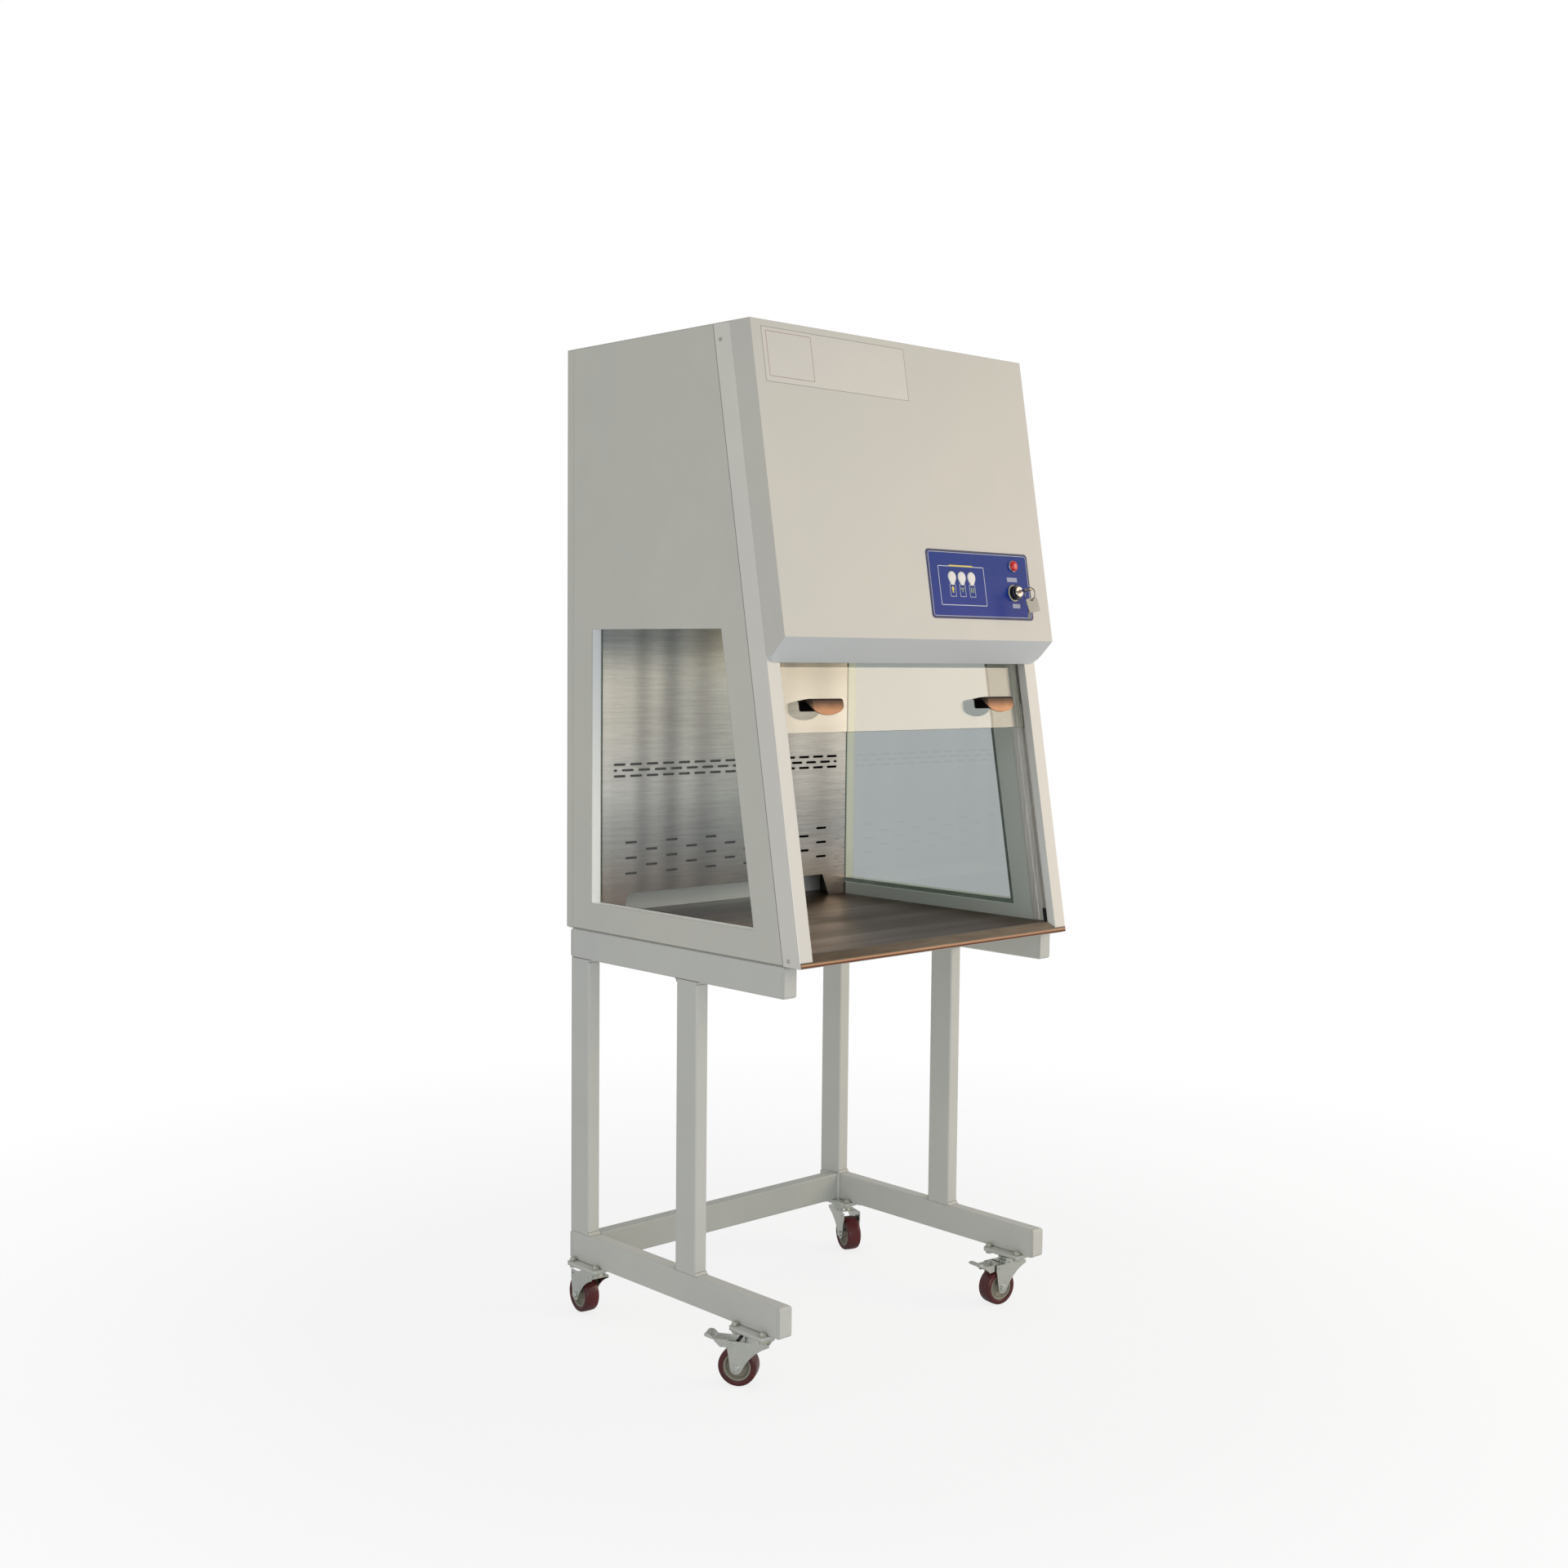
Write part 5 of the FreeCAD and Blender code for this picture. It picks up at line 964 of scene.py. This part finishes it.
# %% Pilot lamp
lamp_x = sum(reach("pilot_bezel", across)) / 2
lamp_rise = sum(reach("pilot_bezel", up_slant)) / 2 - lock_rise
lamp_foot = on_front(lamp_x, lamp_rise)
lens_radius = (reach("pilot_lens", across)[1] - reach("pilot_lens", across)[0]) / 2
lens_top = reach("pilot_lens", out_of_front)[1] - face_level
t = np.linspace(0.0, math.pi / 2, 14)
dome = np.stack([1.1 * lens_radius * np.cos(t) ** 0.8, lens_top * (0.4 + 0.6 * np.sin(t))], axis=1)
dome = np.concatenate([[[1e-5, 2.6 * mm], [lens_radius, 2.6 * mm], [1.1 * lens_radius, 3.2 * mm]], dome])
make("pilot_dome", [turned(dome, lamp_foot, out_of_front, 64)], lens_red,
     "cabinet", ["pilot_lens"], 50)
bezel = round_corners([
    [1e-5, 0.6 * mm], [10.1 * mm, 0.6 * mm], [10.1 * mm, 2.1 * mm], [10.7 * mm, 2.5 * mm],
    [11.4 * mm, 2.3 * mm],
    [12.0 * mm, 1.2 * mm], [12.0 * mm, 0.0], [8.0 * mm, 0.0], [8.0 * mm, -28.0 * mm], [1e-5, -28.0 * mm],
], 0.25 * mm)
make("pilot_ring", [turned(bezel, lamp_foot, out_of_front, 64)], chrome,
     "cabinet", ["pilot_bezel"], 40)

# %% Lock body, legend ring and barrel
body_profile = round_corners([
    [8.05 * mm, -14.0 * mm], [8.05 * mm, 10.4 * mm], [9.0 * mm, 11.0 * mm], [13.4 * mm, 11.0 * mm],
    [14.6 * mm, 10.2 * mm], [15.0 * mm, 9.0 * mm], [15.0 * mm, 0.8 * mm], [11.0 * mm, 0.8 * mm],
    [11.0 * mm, -2.7 * mm], [15.0 * mm, -2.7 * mm], [15.0 * mm, -6.7 * mm], [11.0 * mm, -6.7 * mm],
    [11.0 * mm, -34.0 * mm], [1e-5, -34.0 * mm], [1e-5, -14.6 * mm], [8.05 * mm, -14.6 * mm],
], 0.3 * mm)
make("lock_shell", [turned(body_profile, lock_centre, out_of_front, 72)], switch_black, "cabinet",
     ["lock_body"], 40)
legend = [[11.2 * mm, 0.0], [17.0 * mm, 0.0], [17.0 * mm, 0.5 * mm],
          [16.6 * mm, 0.8 * mm], [11.2 * mm, 0.8 * mm]]
make("legend_ring", [turned(legend, lock_centre, out_of_front, 72, closed=True)], legend_cream,
     "cabinet", crisp=40)
print("lock at", lock_centre.round(4))

# %% [markdown]
# ## Ring, spare key and tag
# From the key's bow hangs a split ring, and from the ring a spare key and a bare tag of milky plastic.
# The ring is turned: its profile has a groove, so it reads as wire wound twice. The tag and the spare key
# are flat plates with a hole, drawn about the ring's centre, then twisted and leaned as the model has them.

# %% Hang the ring, the key and the tag
ring_centre = np.array(joints["key_ring_swing"]["pos_m"]) - np.array([0.0, 0.0, 9.8 * mm])
ring_inner, ring_outer, ring_half = 12.0 * mm, 13.6 * mm, 0.8 * mm
groove = 0.25 * mm
lobe = np.array([[ring_inner + groove, -ring_half], [ring_outer - groove, -ring_half],
                 [ring_outer, -0.7 * ring_half], [ring_outer, -0.2 * ring_half]])
other_lobe = lobe[::-1] * [1, -1]
inner_side = np.array([[ring_inner, 0.7 * ring_half], [ring_inner, 0.2 * ring_half],
                       [ring_inner + groove, 0.0],
                       [ring_inner, -0.2 * ring_half], [ring_inner, -0.7 * ring_half]])
ring_profile = np.concatenate([lobe, [[ring_outer - groove, 0.0]], other_lobe, inner_side])
split_ring = turned(ring_profile, ring_centre, across, 72, closed=True)
plate_half = 0.8 * mm
plate_head = 3.3 * mm - ring_inner
hole_loop = rounded_loop(5.0 * mm, 3.4 * mm, 1.5 * mm) + [0.0, plate_head - 4.7 * mm]


def hung(loops, levels, twist, lean, closed):
    """Flat plate: loops in the ring's own X and Z at levels in Y, twisted about Z, leaned about X, moved."""
    leaned = Matrix.Rotation(math.radians(lean), 3, "X")
    spin = np.array(leaned @ Matrix.Rotation(math.radians(twist), 3, "Z"))
    rings = [np.stack([loop[:, 0], np.full(len(loop), level), loop[:, 1]], axis=1)
             for loop, level in zip(loops, levels)]
    return stack(ring_centre + np.stack(rings) @ spin.T, closed)


def holed_plate(loop, twist, lean):
    """Plate with soft edges round its outside and a straight-sided hole."""
    soft = inset(loop, 0.35 * mm)
    loops = [hole_loop, soft, loop, loop, soft, hole_loop]
    levels = [-plate_half, -plate_half, -0.6 * plate_half, 0.6 * plate_half, plate_half, plate_half]
    return hung(loops, levels, twist, lean, closed=True)


tag_loop = rounded_loop(24 * mm, 30 * mm, 3 * mm) + [0.0, plate_head - 15 * mm]
bow_loop = rounded_loop(15 * mm, 17 * mm, 6 * mm) + [0.0, plate_head - 8.5 * mm]
cuts = np.array([[0.0, 0.0], [-0.4, -3.0], [-1.8, -4.5], [-0.9, -7.0], [-2.2, -9.0], [-1.2, -12.0],
                 [-1.9, -14.5],
                 [-0.5, -17.0], [-0.8, -21.0], [-2.6, -25.0]]) * mm
blade_foot = np.array([[-1.0, -26.5], [-3.0, -26.5], [-7.0, -23.0], [-7.0, 0.0]]) * mm
blade_loop = np.concatenate([cuts, blade_foot])[::-1] + [3.5 * mm, plate_head - 15.5 * mm]
spare_key = [holed_plate(bow_loop, -28.0, 0.0),
             hung([blade_loop, blade_loop], [-0.75 * plate_half, 0.75 * plate_half],
                  -28.0, 0.0, closed=False)]
make("ring_and_spare_key", [split_ring] + spare_key, key_steel, "hanging_keys", ["key_ring"], crisp=40)
make("bare_key_tag", [holed_plate(tag_loop, -28.0, -22.0)], tag_film, "hanging_keys", crisp=40)
print("ring centre:", ring_centre.round(4))

# %% [markdown]
# ## Screws, welds and window seals
# A screw head is a low dome with a cross pressed into it. The head is a grid of rings and spokes whose
# height drops inside the cross, where the smaller of the two distances from the arms is short. A weld
# bead is a hollow quarter circle carried along the joint, with the small ripples that a torch leaves.

# %% Case screws
head_radius, head_height, shank_radius, shank_length = 3.8 * mm, 2.2 * mm, 2.0 * mm, 10.0 * mm


def cross_screw(base, axis, segments=56):
    """Height over the head is h * (1 - 0.35 r^2), less the cross where it lies, then a plain shank."""
    axis = np.asarray(axis, float)
    u, v = side_directions(axis)
    t = np.linspace(0.0, 2.0 * math.pi, segments, endpoint=False)
    spokes = np.cos(t)[:, None] * u + np.sin(t)[:, None] * v
    share = np.linspace(0.93, 0.02, 18)[:, None]
    arm_x, arm_y = np.abs(share * np.cos(t)), np.abs(share * np.sin(t))
    narrow = np.clip((0.17 - np.minimum(arm_x, arm_y)) / 0.07, 0.0, 1.0)
    inside = np.clip((0.62 - np.maximum(arm_x, arm_y)) / 0.12, 0.0, 1.0)
    height = head_height * (1.0 - 0.35 * share**2) - 1.1 * mm * narrow * inside
    dome = base + height[..., None] * axis + (share * head_radius)[..., None] * spokes
    steps = ((1e-5, -shank_length), (shank_radius, -shank_length), (shank_radius, 0.0), (head_radius, 0.0),
             (head_radius, 0.5 * head_height))
    body = [base + level * axis + radius * spokes for radius, level in steps]
    return stack(np.concatenate([np.stack(body), dome]))


strip_faces = reach("front_corner_strips", across)
strip_screws = [(-0.3184, 0.8122), (-0.1198, 1.9388)]
rear_screw_columns = [cabinet_middle - 362.0 * mm, cabinet_middle + 362.0 * mm]
rear_screw_heights = (0.8278, 1.1994, 1.5709, 1.9425)
screws = [cross_screw((face, y, z), across * side)
          for face, side in zip(strip_faces, (-1.0, 1.0)) for y, z in strip_screws]
screws += [cross_screw((x, rear_face, z), (0.0, 1.0, 0.0))
           for x in rear_screw_columns for z in rear_screw_heights]
make("cross_head_screws", screws, bolt_steel, "cabinet", ["case_screws"], crisp=40)
print("screws:", len(screws))

# %% Weld beads
def weld(start, end, wall, floor_side, leg=6.0 * mm):
    """Bead from start to end in the corner of two faces: legs along wall and floor_side, hollow between."""
    start, end, wall, floor_side = (np.asarray(value, float) for value in (start, end, wall, floor_side))
    s = np.linspace(0.0, 1.0, 40)
    length = np.linalg.norm(end - start)
    size = leg * (1.0 + 0.05 * np.sin(2 * math.pi * s * length / (3.2 * mm))
                  + 0.06 * np.sin(9.0 * s + length * 70.0))
    t = np.linspace(0.0, math.pi / 2, 7)
    section = np.concatenate([[[-0.04, -0.04]], np.stack([1.0 - np.sin(t), 1.0 - np.cos(t)], axis=1)])
    bow = section[:, 0, None] * wall + section[:, 1, None] * floor_side
    return stack((start + s[:, None] * (end - start))[:, None] + size[:, None, None] * bow)


leg_corners = corners_of("stand_legs")
(tube_left, leg_front, leg_foot), (tube_right, leg_back, leg_head) = leg_corners.min(0), leg_corners.max(0)
tube_width, tube_depth = 30.0 * mm, 60.0 * mm
bar_face = leg_back - tube_depth
leg_faces = ((leg_front, -1.0), (leg_front + tube_depth, 1.0), (bar_face, -1.0))
print("leg faces:", [round(float(y), 6) for y, side in leg_faces])
welds = []
for left in (tube_left, tube_right - tube_width):
    for y, side in leg_faces:
        for z, up in ((leg_foot, 1.0), (leg_head, -1.0)):
            welds.append(weld((left, y, z), (left + tube_width, y, z), (0.0, 0.0, up), (0.0, side, 0.0)))
for x, side in ((tube_left + tube_width, 1.0), (tube_right - tube_width, -1.0)):
    for low in (leg_foot - tube_depth, leg_head):
        high = low + tube_depth
        welds.append(weld((x, bar_face, low), (x, bar_face, high), (side, 0.0, 0.0), (0.0, -1.0, 0.0)))
make("weld_beads", welds, stand_paint, "cabinet", crisp=60)
print("weld beads:", len(welds))

# %% [markdown]
# The seal of a side window is a flat ring between the pane and the folded lip. In the model it touches
# both, and a renderer can't tell which of two touching faces a ray meets first, so here the ring is made
# again a hair thinner. Its outline is the pane's own, sorted by angle about the middle.

# %% Window seals
def window_seal(side):
    """Ring between the pane's outline and the same outline moved in, a hair off its neighbours."""
    pane, seal = (corners_of(name) for name in ("window_panes", "window_gaskets"))
    pane, seal = (points[(points[:, 0] - cabinet_middle) * side > 0] for points in (pane, seal))
    outline = np.unique(pane[:, 1:].round(6), axis=0)
    middle = outline.mean(axis=0)
    outline = outline[np.argsort(np.arctan2(outline[:, 1] - middle[1], outline[:, 0] - middle[0]))]
    ring_width = pane[:, 2].max() - seal[:, 2][seal[:, 2] < pane[:, 2].max() - 4 * mm].max()
    inner = inset(outline, ring_width)
    gap = 0.08 * mm
    low, high = seal[:, 0].min() + gap, seal[:, 0].max() - gap
    rings = [np.column_stack([np.full(len(loop), x), loop])
             for loop, x in ((outline, low), (outline, high), (inner, high), (inner, low))]
    return stack(np.stack(rings), closed=True)


make("window_seals", [window_seal(-1), window_seal(1)], seal_grey, "cabinet", ["window_gaskets"], crisp=30)

# %% [markdown]
# ## Prints on the control plate
# The overlay carries thin printed lines: a white line close to its edge, a frame round the keys and a
# small outlined card under each key, plus two pale fields beside the lock that are left blank. A print
# has no height one could feel, so each is a loop of two outlines a tenth of a millimetre thick.

# %% Printed lines and cards
print_height = 0.12 * mm
plate_left, plate_right = reach("control_plate", across)
plate_foot, plate_top = (value - lock_rise for value in reach("control_plate", up_slant))


def printed_line(width, height, radius, stroke, centre_x, centre_rise, foot=0.0):
    """Closed outline: the outer and the inner loop, each at the foot and at the top of the print."""
    outer = rounded_loop(width, height, radius)
    inner = inset(outer, stroke)
    levels = ((outer, foot), (outer, foot + print_height), (inner, foot + print_height), (inner, foot))
    rings = [on_front(centre_x + loop[:, 0], centre_rise + loop[:, 1], level) for loop, level in levels]
    return stack(np.stack(rings), closed=True)


def printed_field(width, height, radius, centre_x, centre_rise, foot=0.0):
    """Filled field with round corners."""
    loop = rounded_loop(width, height, radius)
    return plate_on_front(loop, centre_x, centre_rise, foot, foot + print_height)


middle_x = (plate_left + plate_right) / 2
middle_rise = (plate_foot + plate_top) / 2
plate_width = plate_right - plate_left
plate_height = plate_top - plate_foot
edge_line = printed_line(plate_width - 9 * mm, plate_height - 9 * mm, 6 * mm, 0.9 * mm, middle_x, middle_rise)
frame_left, frame_right = cabinet_middle + 50 * mm, cabinet_middle + 184 * mm
frame_foot, frame_top = -29.3 * mm, 48.9 * mm
key_frame = printed_line(frame_right - frame_left, frame_top - frame_foot, 2.0 * mm, 1.3 * mm,
                         (frame_left + frame_right) / 2, (frame_foot + frame_top) / 2)
card_width, card_height = 17 * mm, 25 * mm
card_rise = key_places[0][1] - 11.5 * mm - card_height / 2
cards = [printed_line(card_width, card_height, 1.2 * mm, 0.9 * mm, x, card_rise) for x, rise in key_places]
make("printed_lines", [edge_line, key_frame] + cards, print_white, "cabinet", crisp=30)
rim_line = printed_line(plate_width - 0.6 * mm, plate_height - 0.6 * mm, 8 * mm, 3.2 * mm,
                        middle_x, middle_rise)
make("printed_rim", [rim_line], print_dark, "cabinet", crisp=30)
blanks = [printed_field(31 * mm, 9 * mm, 1.0 * mm, lock_centre[0] - 2 * mm, 27.0 * mm),
          printed_field(23 * mm, 9 * mm, 1.0 * mm, lock_centre[0] + 3 * mm, -26.5 * mm)]
make("blank_fields", blanks, print_pale, "cabinet", crisp=30)
rule = printed_field(70 * mm, 3.0 * mm, 1.4 * mm, (frame_left + frame_right) / 2,
                     frame_top + 0.5 * mm, print_height)
make("frame_rule", [rule], print_yellow, "cabinet", crisp=30)

# %% [markdown]
# The three cards carry plain signs for what the keys switch, drawn from circles and bars: a lamp, a
# fan and a second lamp. They are generic signs, small enough to be read as colour more than as shape.

# %% Signs on the cards
def disc(radius, centre_x, centre_rise, foot, stretch=1.0, turn=0.0):
    """Flat oval: a circle stretched along one direction and turned."""
    t = np.linspace(0.0, 2 * math.pi, 28, endpoint=False)
    oval = np.stack([radius * stretch * np.cos(t), radius * np.sin(t)], axis=1)
    spin = np.array([[math.cos(turn), math.sin(turn)], [-math.sin(turn), math.cos(turn)]])
    return plate_on_front(oval @ spin, centre_x, centre_rise, foot, foot + print_height)


sign_rise = card_rise + 2.5 * mm
lamp_sign = [disc(4.2 * mm, key_places[0][0], sign_rise + 1 * mm, 0.0, 0.8),
             printed_field(3.6 * mm, 5.0 * mm, 0.8 * mm, key_places[0][0], sign_rise - 5 * mm)]
make("lamp_sign", lamp_sign, print_yellow, "cabinet", crisp=30)
fan_sign = [disc(1.7 * mm, key_places[1][0] + 3.2 * mm * math.cos(turn),
                 sign_rise + 3.2 * mm * math.sin(turn),
                 0.0, 1.9, turn + 0.5) for turn in (0.5, 2.6, 4.7)]
make("fan_sign", fan_sign, print_green, "cabinet", crisp=30)
tube_sign = [printed_field(3.4 * mm, 11.0 * mm, 1.6 * mm, key_places[2][0] + shift, sign_rise - 1 * mm)
             for shift in (-3 * mm, 3 * mm)]
make("tube_sign", tube_sign, print_green, "cabinet", crisp=30)

# %% [markdown]
# ## Bare label on the hood
# The hood wears a stuck-on label near its top left corner. It is kept, at its real place and size, as a
# blank film with one outlined field, and says nothing.

# %% Label
hood_face = reach("hood", out_of_front)[1] - face_level


def rise_of(z, lift):
    """Rise above the lock at which a point on the slant, lifted off it, reaches a height z."""
    return (z - lock_centre[2] - lift * out_of_front[2]) / up_slant[2]


label_left, label_right = cabinet_middle - 351 * mm, cabinet_middle + 24 * mm
label_foot, label_top = (rise_of(z, hood_face) for z in (1.856, 1.958))
label = plate_on_front(rounded_loop(label_right - label_left, label_top - label_foot, 1.5 * mm),
                       (label_left + label_right) / 2, (label_foot + label_top) / 2,
                       hood_face, hood_face + 0.15 * mm)
make("bare_label", [label], label_film, "cabinet", crisp=30)
field_left, field_right = cabinet_middle - 340 * mm, cabinet_middle - 227 * mm
field_foot, field_top = (rise_of(z, hood_face) for z in (1.867, 1.9506))
outline = printed_line(field_right - field_left, field_top - field_foot, 1.5 * mm, 0.9 * mm,
                       (field_left + field_right) / 2, (field_foot + field_top) / 2, hood_face + 0.15 * mm)
make("label_outline", [outline], label_line, "cabinet", crisp=30)
border = printed_line(label_right - label_left - 1 * mm, label_top - label_foot - 1 * mm, 1.2 * mm, 0.8 * mm,
                      (label_left + label_right) / 2, (label_foot + label_top) / 2, hood_face + 0.15 * mm)
make("label_border", [border], label_edge, "cabinet", crisp=30)

# %% [markdown]
# ## Floor
# The photograph is cut out on white, so the floor is a pale disc that fades into a white world before
# its rim. To the camera it adds a little of its own light, so that lit floor reads as white and only
# the object's soft shadow stays.

# %% Floor
floor_radius = 3.0
t = np.linspace(0.0, 2 * math.pi, 96, endpoint=False)
rim = np.stack([floor_radius * np.cos(t), floor_radius * np.sin(t), np.zeros_like(t)], axis=1)
floor_mesh = bpy.data.meshes.new("studio_floor")
floor_mesh.from_pydata(rim.tolist(), [], [list(range(len(t)))])
floor = bpy.data.objects.new("studio_floor", floor_mesh)
bpy.context.scene.collection.objects.link(floor)
ground = Finish("floor_white", (0.86, 0.86, 0.86, 1.0), 0.9)
camera_ray = ground.node("ShaderNodeLightPath").outputs["Is Camera Ray"]
glow = ground.node("ShaderNodeEmission", Color=(1.0, 1.0, 1.0, 1.0), Strength=1.0)
lit = ground.node("ShaderNodeMixShader", i0=ground.product(camera_ray, 0.8), i1=ground.shader.outputs[0],
                  i2=glow.outputs[0])
distance = ground.node("ShaderNodeVectorMath", operation="LENGTH", i0=ground.place).outputs["Value"]
fade = ground.between(distance, 0.0, 1.0, 0.9, 2.6)
clear = ground.node("ShaderNodeBsdfTransparent", Color=(1.0, 1.0, 1.0, 1.0))
ground_out = ground.node("ShaderNodeMixShader", i0=fade, i1=lit.outputs[0], i2=clear.outputs[0])
ground.tree.links.new(ground_out.outputs[0], ground.output.inputs["Surface"])
floor_mesh.materials.append(ground.material)

# %% [markdown]
# ## Light
# The real cabinet stood in a room with a bright wall in front of it to the right. A wide soft lamp
# there does two jobs: it makes the front lighter than the side, and the sash mirrors it towards the
# camera, which gives the pane its cream veil. A pale world fills the rest, white to the camera.

# %% World and lamps
world = bpy.data.worlds.new("studio_world")
bpy.context.scene.world = world
world.use_nodes = True
sky = world.node_tree
rays = sky.nodes.new("ShaderNodeLightPath").outputs


def wash(colour, strength=1.0):
    """A plain sky of one colour."""
    plain = sky.nodes.new("ShaderNodeBackground")
    plain.inputs["Color"].default_value = colour
    plain.inputs["Strength"].default_value = strength
    return plain.outputs[0]


def for_rays(kind, others, these):
    """One sky for the rays of a kind, another for the rest."""
    choice = sky.nodes.new("ShaderNodeMixShader")
    for socket, source in zip(choice.inputs, (rays[kind], others, these)):
        sky.links.new(source, socket)
    return choice.outputs[0]


room = for_rays("Is Transmission Ray", wash(linear(236, 238, 240), 0.66), wash(linear(180, 181, 182)))
seen = for_rays("Is Camera Ray", room, wash((1.0, 1.0, 1.0, 1.0)))
sky.links.new(seen, sky.nodes["World Output"].inputs["Surface"])


def soft_lamp(name, place, target, width, height, radiance, colour):
    """Rectangular lamp facing its target. Radiance is its surface brightness, so power grows with area."""
    data = bpy.data.lights.new(name, "AREA")
    data.shape = "RECTANGLE"
    data.size = width
    data.size_y = height
    data.energy = radiance * math.pi * width * height
    data.color = colour[:3]
    lamp = bpy.data.objects.new(name, data)
    lamp.location = place
    lamp.rotation_euler = (Vector(target) - Vector(place)).to_track_quat("-Z", "Y").to_euler()
    bpy.context.scene.collection.objects.link(lamp)
    return lamp


sash_middle = Vector((cabinet_middle, -0.27, 1.28))
soft_lamp("bright_wall", sash_middle + Vector((0.73, -0.645, 0.218)) * 4.2, sash_middle, 2.6, 2.2, 3.4,
          linear(255, 233, 206))
soft_lamp("front_fill", (-1.5, -4.2, 0.8), (0.0, -0.3, 1.1), 2.0, 1.6, 2.9, linear(236, 246, 255))
soft_lamp("left_fill", (-2.6, -0.9, 1.5), (-0.3, -0.1, 1.2), 1.0, 1.2, 0.9, linear(250, 251, 252))

# %% [markdown]
# ## Camera
# The place and lens were solved from the straight edges in the photograph and then only written down
# here: where the lens stood, how far it was turned about the upright, how far it looked down, and the
# small roll of a hand-held shot.

# %% Camera
camera_place = Vector((cabinet_middle - 2.680, -2.783, 1.361))
turn, down, roll = (math.radians(value) for value in (-42.892, 3.88, 0.544))
camera_data = bpy.data.cameras.new("portrait_camera")
camera_data.sensor_width = 36.0
camera_data.lens = 43.46
camera = bpy.data.objects.new("portrait_camera", camera_data)
bpy.context.scene.collection.objects.link(camera)
forward = Vector((-math.sin(turn) * math.cos(down), math.cos(turn) * math.cos(down), -math.sin(down)))
right = Vector((math.cos(turn), math.sin(turn), 0.0))
upward = right.cross(forward)
rolled_right = math.cos(roll) * right + math.sin(roll) * upward
rolled_up = -math.sin(roll) * right + math.cos(roll) * upward
axes = Matrix((rolled_right, rolled_up, -forward)).transposed()
camera.matrix_world = Matrix.Translation(camera_place) @ axes.to_4x4()
bpy.context.scene.camera = camera
bpy.context.scene.view_settings.view_transform = "Standard"
